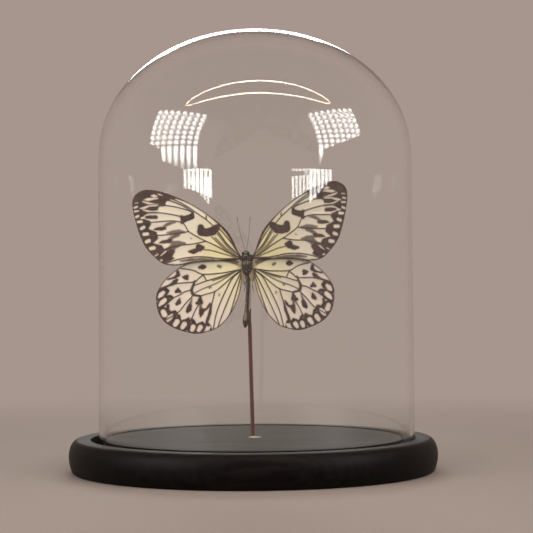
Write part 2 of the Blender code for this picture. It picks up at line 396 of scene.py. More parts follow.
def arc(centre, wide, high, start, end, steps, power=2.0):
    """Points of an arc, from a start to an end angle in degrees. A power over 2 squares it."""
    made = []
    for angle in np.radians(np.linspace(start, end, steps + 1)):
        across, up = math.cos(angle), math.sin(angle)
        x = centre[0] + wide * math.copysign(abs(across) ** (2 / power), across)
        made.append((max(0.0, x), centre[1] + high * math.copysign(abs(up) ** (2 / power), up)))
    return made


def base_profile():
    floor_height = BASE_TOP - GROOVE_DEPTH
    profile = [(0, BASE_TOP)] + [(r, BASE_TOP) for r in (10, 30, 50, 70)]
    profile += arc((GROOVE[0] - EASE, BASE_TOP - EASE), EASE, EASE, 90, 0, 5)
    profile += arc((GROOVE[0] + EASE, floor_height + EASE), EASE, EASE, 180, 270, 3)
    profile += arc((GROOVE[1] - EASE, floor_height + EASE), EASE, EASE, 270, 360, 3)
    profile += arc((GROOVE[1] + EASE, BASE_TOP - EASE), EASE, EASE, 180, 90, 5)
    profile += arc((TOP_FLAT, BASE_WAIST), BASE_RADIUS - TOP_FLAT, BASE_TOP - BASE_WAIST, 90, 0, 24)
    for height in np.linspace(BASE_WAIST, EASE, 9)[1:]:
        pull = ((BASE_WAIST - height) / BASE_WAIST) ** 2
        profile.append((BASE_RADIUS - (BASE_RADIUS - UNDERSIDE) * pull, height))
    return profile + [(UNDERSIDE - EASE, 0), (60, 0), (0, 0)]


# %% [markdown]
# The finish is a black stain under a satin varnish. The wood's grain still shows as faint streaks
# that all run one way across the disc, so the noise is stretched along X: the same noise tints the
# stain, roughens the varnish and gives it a shallow relief.

# %% Stained wood
def stained_wood():
    finish = Finish("black stained wood")
    where = finish.place()
    streaks = finish.noise(where, 1.4, 5.0, 0.6, stretch=(0.035, 1.0, 0.35))
    pores = finish.noise(where, 0.5, 2.0, 0.7, stretch=(0.05, 1.0, 0.6))
    worn = finish.noise(where, 18, 2.0)
    stain = finish.mix(finish.fade(streaks, 0.35, 0.7), colour(3, 2, 2), colour(14, 9, 8))
    rough = 0.34 + streaks * 0.22 + worn * 0.06
    relief = finish.bump(streaks * 0.6 + pores * 0.4, 0.05, 0.5)
    return finish.surface(finish.node(
        "ShaderNodeBsdfPrincipled", {}, Base_Color=stain, Roughness=rough, Normal=relief,
        Specular_IOR_Level=0.08,
    ))  # fmt: skip


base = shape("base_turned", [lathe(base_profile(), TURNED_STEPS)], [stained_wood()])
stand_in(base, "stained_wood", "base")

# %% [markdown]
# ## The glass dome
# The dome is blown glass: straight sides that close in a crown a little squarer than an ellipse,
# and a ground, rounded rim. The wall gets a touch thicker over the crown, as blown glass does.
# Real thickness matters: light bends at the outer and at the inner face, and that draws the dark
# line at the sides. So the wall is a closed solid, and not a single sheet. Smooth shading blends
# the directions of neighbouring faces, so the straight wall has rings close to both of its ends:
# without them it would shade, and bend light, like a wedge.

# %% Dome
dome_low, dome_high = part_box("glass_dome")
DOME_MIDDLE_X = (dome_low.x + dome_high.x) / 2 / MM
DOME_FOOT = dome_low.z / MM
DOME_TOP = dome_high.z / MM
FOOT_RADIUS = (dome_high.x - dome_low.x) / 2 / MM
SHOULDER_RADIUS = FOOT_RADIUS - 0.5
SHOULDER = 168.5
CROWN_POWER = 2.07
WALL_THICKNESS = 2.2
CROWN_EXTRA = 0.9
WALL_RINGS = (0.004, 0.02, 0.2, 0.4, 0.6, 0.8, 0.98, 0.997)  # shares of the way down the wall


def dome_profile():
    rise = DOME_TOP - SHOULDER
    centre = (0, SHOULDER)
    half = WALL_THICKNESS / 2
    outside = arc(centre, SHOULDER_RADIUS, rise, 90, 0, 72, CROWN_POWER)
    rim = arc((FOOT_RADIUS - half, DOME_FOOT + half), half, half, 0, -180, 10)
    inner_radius = SHOULDER_RADIUS - WALL_THICKNESS
    inner_rise = rise - WALL_THICKNESS - CROWN_EXTRA
    inside = arc(centre, inner_radius, inner_rise, 0, 90, 72, CROWN_POWER)
    outside[0] = (0, DOME_TOP)
    inside[-1] = (0, SHOULDER + inner_rise)
    wall = [(outside[-1][0] + (rim[0][0] - outside[-1][0]) * t, SHOULDER + (rim[0][1] - SHOULDER) * t)
            for t in WALL_RINGS]  # fmt: skip
    inner_wall = [(radius - WALL_THICKNESS, height) for radius, height in reversed(wall)]
    return outside + wall + rim + inner_wall + inside


# %% [markdown]
# Clear glass needs little: full transmission, an IOR of 1.5 and no roughness. A very shallow, wide
# relief gives the slight waviness of a blown wall. For shadow rays the shader turns transparent,
# because light that had to bend through the dome would reach the butterfly only as noise.

# %% Clear glass
def clear_glass():
    finish = Finish("clear glass")
    waves = finish.noise(finish.place(), 26, 1.0, stretch=(1.0, 1.0, 0.3))
    solid = finish.node(
        "ShaderNodeBsdfPrincipled", {}, Base_Color=(0.985, 0.995, 0.985, 1.0), Roughness=0.0,
        IOR=1.5, Transmission_Weight=1.0, Normal=finish.bump(waves, 0.12, 0.3),
    )  # fmt: skip
    passing = finish.node("ShaderNodeBsdfTransparent", {}, Color=(0.96, 0.97, 0.96, 1.0))
    shadow = finish.node("ShaderNodeLightPath", {}, out=1)
    return finish.surface(finish.node("ShaderNodeMixShader", {}, shadow, solid, passing))


dome = shape("dome_blown", [lathe(dome_profile(), TURNED_STEPS)], [clear_glass()])
dome.location.x = DOME_MIDDLE_X * MM
stand_in(dome, "clear_glass", "glass_dome")

# %% [markdown]
# ## Tubes
# The rod, the pin, the feelers, the legs and the veins in the wings are all tubes of changing
# thickness along a line. A curve object with a bevel could make each of them, but a mesh tube can
# also be flattened and joined to other parts. One helper makes them all.

# %% Lines and tubes
def smooth_line(stops, per_span, closed=False):
    """A smooth line through the stops (Catmull-Rom)."""
    stops = np.array(stops, float)
    if closed:
        padded = np.concatenate([stops[-1:], stops, stops[:2]])
    else:
        padded = np.concatenate([2 * stops[:1] - stops[1:2], stops, 2 * stops[-1:] - stops[-2:-1]])
    made = []
    for p0, p1, p2, p3 in zip(padded, padded[1:], padded[2:], padded[3:]):
        for t in np.arange(per_span) / per_span:
            bend = (2 * p0 - 5 * p1 + 4 * p2 - p3) * t * t + (3 * p1 - p0 - 3 * p2 + p3) * t**3
            made.append((2 * p1 + (p2 - p0) * t + bend) / 2)
    return np.array(made if closed else made + [stops[-1]])


def tube(path, radii, around=8, squeeze=1.0):
    """Points and faces of a closed tube. Squeeze flattens it towards the back and front."""
    path = np.array(path, float)
    radii = np.broadcast_to(radii, len(path))
    ahead = np.gradient(path, axis=0)
    ahead /= np.linalg.norm(ahead, axis=1)[:, None]
    across = np.cross(ahead, (0, 1, 0))
    across /= np.linalg.norm(across, axis=1)[:, None]
    deep = np.cross(across, ahead) * squeeze
    angles = np.arange(around) * math.tau / around
    rings = [
        p + r * (np.cos(angles)[:, None] * a + np.sin(angles)[:, None] * d)
        for p, r, a, d in zip(path, radii, across, deep)
    ]
    points = np.concatenate(rings + [path[:1], path[-1:]])
    faces = []
    for i in range(len(path) - 1):
        for k in range(around):
            j = (k + 1) % around
            low, high = i * around, (i + 1) * around
            faces.append((low + k, high + k, high + j, low + j))
    first, last, top = len(points) - 2, len(points) - 1, (len(path) - 1) * around
    for k in range(around):
        j = (k + 1) % around
        faces.append((first, k, j))
        faces.append((last, top + j, top + k))
    return points, faces


# %% [markdown]
# ## Rod, glue and pin
# The rod is a thin wooden stick, stained red-brown and whittled to a point on one side. It leans
# a little to the left. Its foot stands in a thin skirt of dried glue, and a steel wire, the pin,
# runs on from its point, straight up behind the abdomen and forward into the butterfly.

# %% Rod
ROD_RADIUS, ROD_TIP_RADIUS = 1.05, 0.35
ROD_TAPER, ROD_TIP = 61, 70  # heights above the base's top
ROD_LEAN = math.tan(math.radians(1.25))


def rod_axis(height):
    taper = max(0, (height - ROD_TAPER) / (ROD_TIP - ROD_TAPER))
    return np.array((-0.3 - ROD_LEAN * height + 0.75 * taper**2, 0, BASE_TOP + height))


def rod_wood():
    finish = Finish("red-brown rod")
    where = finish.place()
    fibres = finish.noise(where, 0.35, 4.0, 0.6, stretch=(1.0, 1.0, 0.03))
    blotch = finish.noise(where, 6, 2.0)
    tone = finish.mix(finish.fade(fibres, 0.3, 0.72), colour(26, 9, 9), colour(92, 38, 30))
    tone = finish.mix(blotch * 0.5, tone, colour(60, 26, 21))
    return finish.surface(finish.node(
        "ShaderNodeBsdfPrincipled", {}, Base_Color=tone, Roughness=0.38 + fibres * 0.2,
        Normal=finish.bump(fibres, 0.08, 0.7), Specular_IOR_Level=0.3,
    ))  # fmt: skip


def rod_parts():
    straight, whittled = np.linspace(0, ROD_TAPER, 62), np.linspace(ROD_TAPER + 0.5, ROD_TIP, 18)
    heights = np.concatenate([straight, whittled])
    taper = np.clip((heights - ROD_TAPER) / (ROD_TIP - ROD_TAPER), 0, 1)
    radii = ROD_RADIUS + (ROD_TIP_RADIUS - ROD_RADIUS) * taper
    radii = radii - 0.04 * np.abs(np.sin(heights * 0.9)) * taper
    return tube([rod_axis(h) for h in heights], radii, 24)


rod = shape("rod_stick", [rod_parts()], [rod_wood()])
stand_in(rod, "rod_wood", "rod")

# %% [markdown]
# The glue dried as a low, uneven skirt, milky and glossy. It could be a flattened ball, but a lathe
# profile pushed in and out by two sine waves gives the thin ragged edge. The steel's finish is here
# too: drawn wire, with fine streaks along it.

# %% Glue and steel
def glue_finish():
    finish = Finish("dried glue")
    cloud = finish.noise(finish.place(), 1.2, 3.0)
    tone = finish.mix(cloud, colour(150, 138, 126), colour(196, 186, 172))
    return finish.surface(finish.node(
        "ShaderNodeBsdfPrincipled", {}, Base_Color=tone, Roughness=0.2 + cloud * 0.2,
        Normal=finish.bump(cloud, 0.15, 0.6), Coat_Weight=0.5, Coat_Roughness=0.1,
    ))  # fmt: skip


def glue_parts():
    """A skirt that climbs the rod a little and runs out thin and uneven on the wood."""
    points, faces = lathe(
        [(0, 0.62), (ROD_RADIUS + 0.02, 0.62), (1.3, 0.34), (1.8, 0.24), (2.5, 0.17), (3.2, 0.1),
         (3.5, 0.02), (0, 0)], 48,
    )  # fmt: skip
    points = np.array(points, float)
    angle = np.arctan2(points[:, 1], points[:, 0])
    reach = np.clip((np.hypot(points[:, 0], points[:, 1]) - ROD_RADIUS) / 2.5, 0, 1)
    uneven = 0.1 * reach * np.sin(3 * angle + 1) + 0.05 * reach * np.sin(7 * angle)
    points[:, :2] *= (1 + uneven)[:, None]
    points[:, 0] += 0.9 * reach
    return points, faces


def steel_finish():
    finish = Finish("steel wire")
    drawn = finish.noise(finish.place(), 0.2, 3.0, stretch=(1.0, 1.0, 0.02))
    tone = finish.mix(drawn, colour(150, 128, 110), colour(196, 178, 160))
    return finish.surface(finish.node(
        "ShaderNodeBsdfPrincipled", {}, Base_Color=tone, Roughness=0.25 + drawn * 0.2, Metallic=1.0,
    ))  # fmt: skip


glue = shape("glue_skirt", [glue_parts()], [glue_finish()])
glue.location = (-0.3 * MM, 0, (BASE_TOP + 0.05) * MM)
stand_in(glue, "dried_glue", "glue_bead")

# %% [markdown]
# ## Where the butterfly is
# The butterfly's pieces share one small frame of their own: X towards its right wing, Z towards
# its head, and its back towards the camera. It is turned a little on its pin. The frame sits on
# the thorax's own solid, so the insect can't drift away from the construction.
# The pin comes here, because it runs from the rod's point into the thorax.

# %% Specimen frame
YAW = math.radians(-11)
THORAX_SINK = np.array((0, 0, -1.0))  # from this frame's origin to the thorax's middle
thorax_low, thorax_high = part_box("thorax")
thorax_middle = (thorax_low + thorax_high) / 2 - Vector(THORAX_SINK) * MM
specimen = Matrix.Translation(thorax_middle) @ Matrix.Rotation(YAW, 4, "Z")
THORAX_HALF = np.array((2.8, 3.1, 5.2))
HEAD = np.array((-0.7, -0.1, 6.2))
PIN_RADIUS = 0.22


def pin_parts():
    start = rod_axis(ROD_TIP - 0.6)
    below = Vector((-math.sin(YAW), math.cos(YAW), 0)) * (THORAX_HALF[1] - 0.3)
    end = np.array(thorax_middle / MM + below)
    share = np.linspace(0, 1, 48)[:, None]
    path = start + (end - start) * np.concatenate([share**5, share**5, share], axis=1)
    return tube(path, PIN_RADIUS, 10)


pin = shape("pin_wire", [pin_parts()], [steel_finish()])
stand_in(pin, "pin_steel", "mounting_pin")
print("the thorax is at", [round(x / MM, 1) for x in thorax_middle], "mm")

# %% [markdown]
# ## Marking a wing
# A painter would draw this wing with a brush: long strokes for the veins, blots for the spots and
# small ovals left pale along the edge. The code does the same. A stroke is a few places along its
# line with the brush's half width at each, in millimetres from the body's midline (outwards, then
# towards the head). The distance to the nearest stroke is worked out for each point of the mesh,
# and the finish turns it into an edge that stays sharp at any size.

# %% Strokes
def along_strokes(places, strokes):
    """Millimetres from each place to the edge of the nearest stroke, below 0 inside it."""
    nearest = np.full(len(places), 99.0)
    for stroke in strokes:
        dots = np.array(stroke, float)
        for a, b in zip(dots, dots[1:]):
            line = b[:2] - a[:2]
            share = np.clip((places - a[:2]) @ line / (line @ line), 0, 1)
            away = np.linalg.norm(places - a[:2] - share[:, None] * line, axis=1)
            width = a[2] + share * (b[2] - a[2]) if len(a) > 2 else 0
            nearest = np.minimum(nearest, away - width)
    return nearest


def within(places, corners):
    """Millimetres from each place to a closed outline, below 0 inside it."""
    corners = np.array(corners, float)
    inside = np.zeros(len(places), bool)
    x, y = places.T
    for a, b in zip(corners, np.roll(corners, -1, axis=0)):
        if a[1] != b[1]:
            crossing = a[0] + (y - a[1]) / (b[1] - a[1]) * (b[0] - a[0])
            inside ^= ((a[1] > y) != (b[1] > y)) & (x < crossing)
    away = along_strokes(places, [np.concatenate([corners, corners[:1]])])
    return np.where(inside, -away, away)


# %% [markdown]
# The forewing is cream, yellower near the body. It has a kidney-shaped blot in its long cell, a
# boot-shaped one at the cell's end, and a dark tip with pale arrowheads and a row of pale ovals.

# %% Forewing pattern
FOREWING = [
    (2.4, -0.4), (4.2, 0.9), (10.2, 12.8), (20.4, 21.8), (31.8, 28.9), (43.8, 34.0), (51.6, 35.7),
    (57.0, 35.2), (61.1, 32.0), (61.9, 26.8), (60.0, 17.6), (57.0, 8.7), (54.3, 3.8), (49.8, -1.0),
    (44.8, -4.5), (37.0, -5.2), (26.6, -3.2), (8.4, -2.5), (2.4, -2.0),
]  # fmt: skip
FOREWING_VEINS = {
    "subcosta": [(3.4, -0.6), (8.1, 6.4), (11.8, 11.0), (15.2, 14.9)],
    "radius": [(3.6, -0.8), (10.6, 6.1), (14.2, 11.0), (18.2, 16.0), (21.9, 19.4), (25.0, 21.6),
               (29.0, 24.4), (32.6, 26.9), (37.5, 29.5), (40.6, 30.9)],
    "radial cross": [(21.9, 19.4), (22.1, 21.6)],
    "radius branch": [(29.3, 23.6), (33.2, 26.2), (37.5, 28.3), (42.4, 30.0), (47.3, 31.1)],
    "first media": [(29.3, 23.6), (32.6, 24.8), (38.1, 26.3), (44.3, 27.4), (51.0, 28.9), (58.5, 30.5)],
    "cell end": [(29.3, 23.6), (29.6, 21.3), (32.0, 20.4), (34.5, 20.0), (35.0, 18.1)],
    "second media": [(34.5, 21.0), (40.0, 22.2), (45.5, 23.1), (51.0, 23.4), (61.2, 23.0)],
    "third media": [(35.0, 18.1), (40.0, 18.9), (46.1, 18.6), (52.9, 18.0), (59.8, 17.2)],
    "first cubitus": [(31.5, 13.1), (36.3, 12.3), (41.2, 11.6), (46.1, 11.2), (51.0, 10.8),
                      (57.3, 10.0)],
    "second cubitus": [(22.2, 7.8), (29.0, 6.4), (35.1, 5.8), (40.0, 4.9), (43.7, 3.8), (50.8, 0.2)],
    "cell floor": [(3.6, -1.2), (10.6, 1.8), (14.2, 3.9), (18.5, 6.1), (22.2, 7.8), (26.5, 10.0),
                   (31.5, 13.1), (33.5, 16.4), (35.0, 18.1)],
    "anal": [(3.6, -1.6), (14.2, -1.7), (21.6, -0.8), (26.5, -0.6), (32.6, -1.1), (38.8, -2.4),
             (44.5, -4.3)],
}  # fmt: skip
FOREWING_FOLDS = {
    "fold": [(5.7, -1.2), (14.2, 1.3), (19.2, 2.7), (23.4, 3.3)],
    "upper streak": [(5.7, -0.3), (10.6, 4.9), (13.9, 9.1), (16.1, 11.9)],
    "middle streak": [(6.3, -0.5), (11.8, 4.3), (17.3, 9.7)],
    "lower streak": [(6.9, -0.6), (13.0, 4.3), (19.2, 10.2)],
}
FOREWING_TIP = [  # the dark tip and outer edge
    (36.3, 31.7), (40.6, 30.2), (43.3, 29.8), (44.2, 28.3), (43.8, 27.1), (47.4, 26.7), (48.2, 25.4),
    (48.0, 23.7), (49.2, 22.7), (48.4, 20.9), (49.0, 19.8), (52.7, 19.4), (51.8, 17.4), (53.4, 14.6),
    (49.0, 12.9), (48.1, 9.5), (50.9, 6.8), (46.2, 5.7), (45.0, 3.8), (41.3, 4.0), (38.9, 2.4),
    (40.6, -0.4), (39.4, -1.4), (41.1, -2.6), (44.1, -4.0), (45.5, -6.0), (50.5, -3.5), (57.0, 2.9),
    (61.0, 10.9), (64.0, 22.0), (64.0, 31.0), (59.5, 36.5), (51.6, 37.0), (44.0, 36.0),
]  # fmt: skip
FOREWING_DARK = {
    "leading edge": [(2.4, -0.6, 0.6), (6.0, 4.3, 0.95), (8.7, 9.7, 0.9), (11.5, 13.4, 0.7),
                     (15.5, 17.7, 0.55), (20.4, 21.9, 0.55), (26.5, 26.2, 0.5), (32.6, 29.5, 0.55),
                     (38.8, 31.9, 0.65), (44.0, 33.6, 0.9)],
    "kidney": [(25.0, 15.3, 1.7), (24.7, 13.0, 2.3), (21.9, 12.5, 2.2), (18.7, 13.2, 2.3),
               (16.6, 15.0, 1.9), (14.8, 16.8, 0.9)],
    "boot": [(29.3, 23.2, 0.7), (29.9, 21.2, 1.5), (31.7, 20.6, 1.5), (34.0, 19.9, 1.8),
             (35.2, 18.1, 0.9)],
    "boot toe": [(35.4, 21.2, 0.8), (34.2, 20.0, 1.6)],
    "below cell": [(26.1, 4.6, 1.7), (24.0, 4.4, 0.9), (25.6, 3.4, 1.2)],
    "below cell, low": [(27.3, 2.9, 1.2), (29.0, 2.3, 1.3), (31.4, 2.2, 0.6)],
    "speck": [(30.1, 9.3, 0.2), (30.4, 9.4, 0.2)],
    "rear edge": [(45.2, -4.1, 0.4), (41.8, -4.9, 0.35), (37.5, -5.0, 0.3), (31.4, -4.1, 0.25),
                  (22.8, -2.9, 0.25), (14.2, -2.6, 0.25), (5.0, -2.2, 0.35)],
}  # fmt: skip
FOREWING_PALE = {
    "spot at the leading edge": [(51.7, 32.5, 0.35), (50.2, 32.5, 0.85), (48.6, 32.2, 0.35)],
    "streak before it": [(48.2, 33.5, 0.2), (47.2, 33.2, 0.4), (45.7, 32.8, 0.15)],
    "inner streak": [(41.3, 30.4, 0.25), (39.5, 29.7, 0.35)],
    "arrow 1, upper": [(56.2, 29.6, 0.5), (53.5, 30.5, 0.9), (50.3, 30.9, 0.7), (48.0, 31.0, 0.3)],
    "arrow 1, lower": [(56.0, 29.4, 0.5), (53.4, 28.7, 0.8), (50.2, 28.3, 0.5), (47.5, 28.2, 0.3)],
    "arrow 2, upper": [(57.8, 25.7, 0.4), (55.6, 26.0, 0.7), (52.8, 27.0, 0.5), (48.5, 27.3, 0.45)],
    "arrow 2, lower": [(56.4, 25.0, 0.3), (53.5, 24.2, 0.5), (50.5, 24.1, 0.5), (47.5, 24.2, 0.5)],
    "arrow 3": [(57.2, 20.5, 0.5), (55.6, 20.7, 0.75)],
    "arrow 3, upper": [(55.4, 21.6, 0.4), (53.0, 22.5, 0.6), (49.5, 22.6, 0.6), (47.5, 22.3, 0.6)],
    "arrow 3, lower": [(54.5, 19.9, 0.4), (52.0, 19.4, 0.55), (48.2, 19.4, 0.65)],
    "edge 1": [(60.6, 28.5, 0.25), (58.8, 28.8, 0.3)],
    "edge 2": [(60.8, 26.1, 0.55), (59.4, 26.6, 0.6)],
    "edge 3": [(60.6, 24.1, 0.5), (58.7, 24.3, 0.5)],
    "edge 4": [(60.0, 21.0, 0.65), (58.8, 21.6, 0.75)],
    "edge 5": [(58.8, 18.3, 0.8), (57.1, 18.5, 0.9)],
    "edge 6": [(57.2, 14.8, 0.85), (55.8, 15.5, 0.95)],
    "edge 7": [(55.7, 11.7, 1.0), (53.9, 11.9, 1.05)],
    "edge 8": [(54.5, 7.6, 0.95), (53.1, 8.2, 1.1)],
    "edge 9": [(52.2, 4.0, 1.0), (50.5, 4.3, 1.1)],
    "edge 10": [(49.7, 0.3, 0.6), (48.7, 1.0, 0.7)],
    "edge 11": [(46.9, -2.4, 0.45), (46.1, -2.5, 0.5)],
    "streak inside": [(46.6, 0.2, 0.3), (44.3, 2.2, 0.55), (42.3, 3.3, 0.35)],
    "rear streak": [(43.8, -4.1, 0.2), (41.1, -3.8, 0.5), (38.7, -3.4, 0.65), (36.5, -3.1, 0.4)],
}
FOREWING_SPOTS = {  # dark again, inside the pale arrowheads
    "arrow 2": [(54.9, 25.4, 0.2), (52.9, 25.4, 0.85), (51.1, 25.5, 1.1), (49.2, 25.4, 0.8)],
    "arrow 3": [(54.9, 20.9, 0.2), (52.9, 20.9, 0.8), (51.1, 21.0, 0.95), (49.0, 20.9, 0.7)],
    "arrow 4": [(50.5, 14.2, 0.2), (48.5, 14.6, 0.8), (46.5, 14.7, 1.0), (44.3, 14.9, 0.7)],
    "arrow 5": [(47.5, 7.0, 0.2), (45.5, 7.5, 0.85), (43.2, 7.8, 1.0), (41.3, 8.4, 0.7)],
}
FOREWING_SMOKE = {
    "apex": [(52.1, 29.6, 0.5), (49.5, 29.6, 1.0), (46.0, 29.5, 1.3)],
    "below the third media": [(45.0, 15.8, 0.8), (42.8, 17.2, 1.0), (40.8, 17.9, 0.8),
                              (38.8, 18.1, 0.4)],
    "along the first cubitus": [(43.2, 12.4, 0.6), (40.0, 12.6, 1.3), (37.0, 12.8, 1.5),
                                (34.0, 12.9, 0.7)],
    "under the first cubitus": [(42.0, 8.9, 0.9), (39.9, 10.3, 1.1), (37.2, 11.6, 1.2)],
    "along the second cubitus": [(33.6, 6.7, 0.6), (36.6, 6.6, 1.5), (39.8, 5.2, 1.9),
                                 (41.7, 2.9, 2.1)],
    "above the second cubitus": [(42.0, 7.2, 0.7), (39.2, 7.2, 1.0), (36.6, 7.2, 1.0)],
    "rear edge": [(36.0, -2.9, 0.5), (31.0, -2.3, 0.9), (25.0, -1.9, 0.8), (18.0, -2.0, 0.5)],
    "rear edge, low": [(34.0, -4.2, 0.4), (28.0, -3.3, 0.5), (20.0, -2.6, 0.4)],
    "root": [(4.0, -2.0, 0.9), (9.0, -2.3, 0.6), (14.0, -2.5, 0.3)],
}

# %% [markdown]
# The hindwing is rounder and paler. Each space between its veins has one dark spot, and the dark
# edge is scalloped round big pale ovals.

# %% Hindwing pattern
HINDWING = [
    (2.4, -4.2), (6.0, -2.6), (15.0, 0.4), (26.0, -1.4), (34.0, -4.6), (39.4, -8.0), (44.0, -12.0),
    (47.5, -16.5), (49.7, -21.8), (49.0, -29.0), (46.4, -34.4), (41.2, -38.6), (33.3, -41.4),
    (26.6, -42.3), (17.6, -39.8), (12.8, -36.1), (8.7, -30.7), (4.6, -21.5), (2.8, -12.0), (2.0, -8.0),
]  # fmt: skip
HINDWING_VEINS = {
    "radius": [(3.2, -7.5), (9.3, -8.7), (14.2, -9.5), (24.1, -10.1), (29.0, -8.1), (32.6, -7.3),
               (36.0, -6.9)],
    "sector": [(23.9, -10.2), (26.5, -12.3), (29.0, -14.2), (37.5, -14.9), (41.6, -15.8),
               (47.0, -17.6)],
    "cell end": [(29.0, -14.2), (29.6, -16.2), (30.5, -18.5), (30.2, -20.0), (29.4, -21.3),
                 (25.8, -21.9)],
    "cell roof": [(4.5, -7.8), (10.6, -10.1), (16.1, -11.9), (22.2, -13.7), (26.5, -15.2),
                  (29.4, -16.2)],
    "cross bar": [(24.1, -10.4), (23.1, -12.2), (22.2, -13.7)],
    "first media": [(30.5, -18.7), (33.9, -19.4), (37.2, -21.3), (40.5, -22.9), (44.5, -25.8),
                    (48.6, -28.6)],
    "second media": [(29.4, -21.3), (33.5, -25.6), (37.2, -30.1), (41.0, -32.6), (45.2, -35.2)],
    "third media": [(25.7, -22.5), (26.8, -26.6), (28.8, -30.2), (30.5, -34.2), (32.3, -37.3),
                    (33.6, -40.6)],
    "cell floor": [(3.6, -8.0), (8.7, -11.9), (13.0, -15.8), (17.7, -19.4), (21.9, -20.7),
                   (25.8, -21.9)],
    "first cubitus": [(17.8, -19.2), (18.6, -22.8), (20.0, -28.1), (20.6, -31.3), (22.3, -36.8),
                      (24.0, -41.2)],
    "second cubitus": [(3.4, -8.2), (8.1, -12.2), (11.5, -18.3), (14.9, -25.6), (17.3, -32.3),
                       (18.8, -39.8)],
    "first anal": [(3.2, -8.6), (7.5, -17.1), (11.2, -25.6), (14.2, -32.9), (16.2, -38.3)],
    "second anal": [(3.0, -9.1), (5.6, -18.3), (8.1, -26.8), (9.9, -32.2)],
}  # fmt: skip
HINDWING_FOLDS = {
    "fold": [(5.7, -8.1), (12.4, -12.5), (16.1, -14.6), (20.4, -16.5), (25.0, -18.3), (29.6, -20.7)],
    "cell fold": [(6.5, -8.3), (13.0, -11.6), (19.0, -13.6)],
}
HINDWING_DARK = {
    "scallop 1": [(38.0, -8.6, 0.8), (37.7, -10.2, 1.1), (39.1, -11.5, 0.7), (41.3, -12.2, 0.4),
                  (43.3, -12.7, 0.4)],
    "scallop 2": [(38.3, -13.0, 0.75), (39.4, -14.1, 1.2), (40.9, -15.2, 0.8), (43.1, -16.2, 0.5),
                  (45.8, -17.3, 0.6), (47.5, -18.0, 0.55)],
    "scallop 3": [(46.4, -17.9, 0.65), (44.5, -18.1, 1.0), (43.6, -19.1, 1.1), (44.0, -20.6, 0.6)],
    "corner 3": [(47.1, -18.4, 0.55), (48.5, -19.5, 0.6), (49.5, -20.9, 0.35)],
    "divider 3": [(48.9, -23.8, 0.4), (46.4, -22.6, 0.4), (44.2, -22.0, 0.65),
                  (42.0, -22.0, 0.85), (41.1, -22.2, 0.6)],
    "scallop 4": [(40.5, -22.8, 0.4), (42.7, -24.2, 0.8), (44.5, -25.8, 0.85),
                  (46.4, -27.1, 0.85), (48.6, -28.2, 0.65)],
    "scallop 5": [(43.3, -26.9, 0.8), (43.6, -28.9, 1.0), (42.4, -30.4, 0.8)],
    "divider 5": [(41.2, -30.4, 0.5), (39.6, -30.4, 0.9), (38.7, -31.5, 0.7), (39.8, -33.0, 0.8),
                  (41.4, -36.2, 0.75), (42.7, -38.0, 0.55)],
    "divider 4": [(43.6, -29.2, 0.9), (45.0, -31.0, 0.7), (46.8, -32.4, 0.6)],
    "scallop 6": [(37.6, -32.6, 0.9), (36.9, -34.0, 0.6), (36.9, -35.7, 0.55), (37.6, -37.3, 0.6),
                  (38.2, -39.7, 0.5)],
    "scallop 7": [(36.3, -35.9, 0.25), (34.3, -34.9, 0.35), (32.1, -34.0, 0.55), (32.1, -35.9, 1.1),
                  (32.6, -37.7, 1.0), (33.2, -39.7, 0.8), (34.5, -40.8, 0.65)],
    "scallop 8": [(30.5, -34.4, 0.55), (29.6, -35.7, 1.0), (28.6, -36.9, 0.65),
                  (28.7, -38.9, 0.55), (29.1, -41.7, 0.4)],
    "scallop 9": [(27.7, -38.0, 0.25), (26.7, -37.1, 0.35), (24.8, -36.5, 0.8), (24.0, -37.8, 1.0),
                  (24.2, -39.5, 0.85), (25.4, -41.6, 0.65)],
    "scallop 10": [(22.5, -36.8, 0.55), (21.7, -37.3, 0.9), (20.6, -38.4, 0.6), (20.1, -40.2, 0.65)],
    "spot 1": [(26.0, -6.4, 0.7), (24.4, -6.1, 1.4), (23.3, -6.1, 0.9)],
    "spot 2": [(35.0, -11.6, 0.5), (33.6, -11.7, 1.3), (32.8, -11.1, 0.9)],
    "spot 2, low": [(33.6, -11.7, 1.2), (32.8, -12.4, 0.8)],
    "spot 3": [(37.8, -17.8, 0.5), (37.8, -18.9, 1.1), (38.8, -19.4, 0.8)],
    "spot 3, low": [(37.8, -18.9, 1.1), (36.8, -19.4, 0.8)],
    "spot 4": [(37.0, -23.5, 0.5), (37.4, -25.1, 1.3), (38.5, -26.1, 0.8)],
    "spot 5": [(31.3, -27.2, 1.1), (31.9, -29.0, 1.4), (32.7, -30.2, 0.9)],
    "spot 6": [(25.7, -22.4, 0.5), (25.9, -24.4, 1.3), (25.1, -25.4, 0.9)],
    "spot 6, side": [(27.6, -25.8, 0.8), (26.1, -25.3, 1.1)],
    "spot 7": [(24.9, -29.9, 1.5), (25.3, -31.3, 1.2), (25.7, -33.1, 0.4)],
    "spot 7, arm": [(24.1, -29.6, 0.9), (22.3, -28.9, 0.5), (21.4, -27.6, 0.7), (20.4, -26.0, 0.4)],
    "cubital streak": [(19.9, -27.0, 0.4), (20.6, -31.0, 0.8), (21.8, -34.5, 0.8), (22.6, -37.5, 0.7)],
    "cell end": [(28.6, -13.6, 0.4), (29.6, -16.2, 0.6), (30.5, -18.6, 0.75), (29.8, -20.8, 0.85),
                 (28.6, -21.4, 0.55), (25.8, -21.9, 0.45)],
}  # fmt: skip
HINDWING_PALE = {
    "oval 1": [(42.0, -11.7, 0.35), (40.7, -10.8, 0.7), (39.6, -9.9, 0.4)],
    "oval 2": [(45.6, -16.3, 0.4), (44.0, -15.0, 0.95), (42.2, -13.8, 0.7)],
    "oval 11": [(21.5, -39.7, 0.7), (20.8, -38.8, 0.75)],
    "oval 12": [(18.2, -39.0, 0.5), (17.3, -38.6, 0.65)],
}
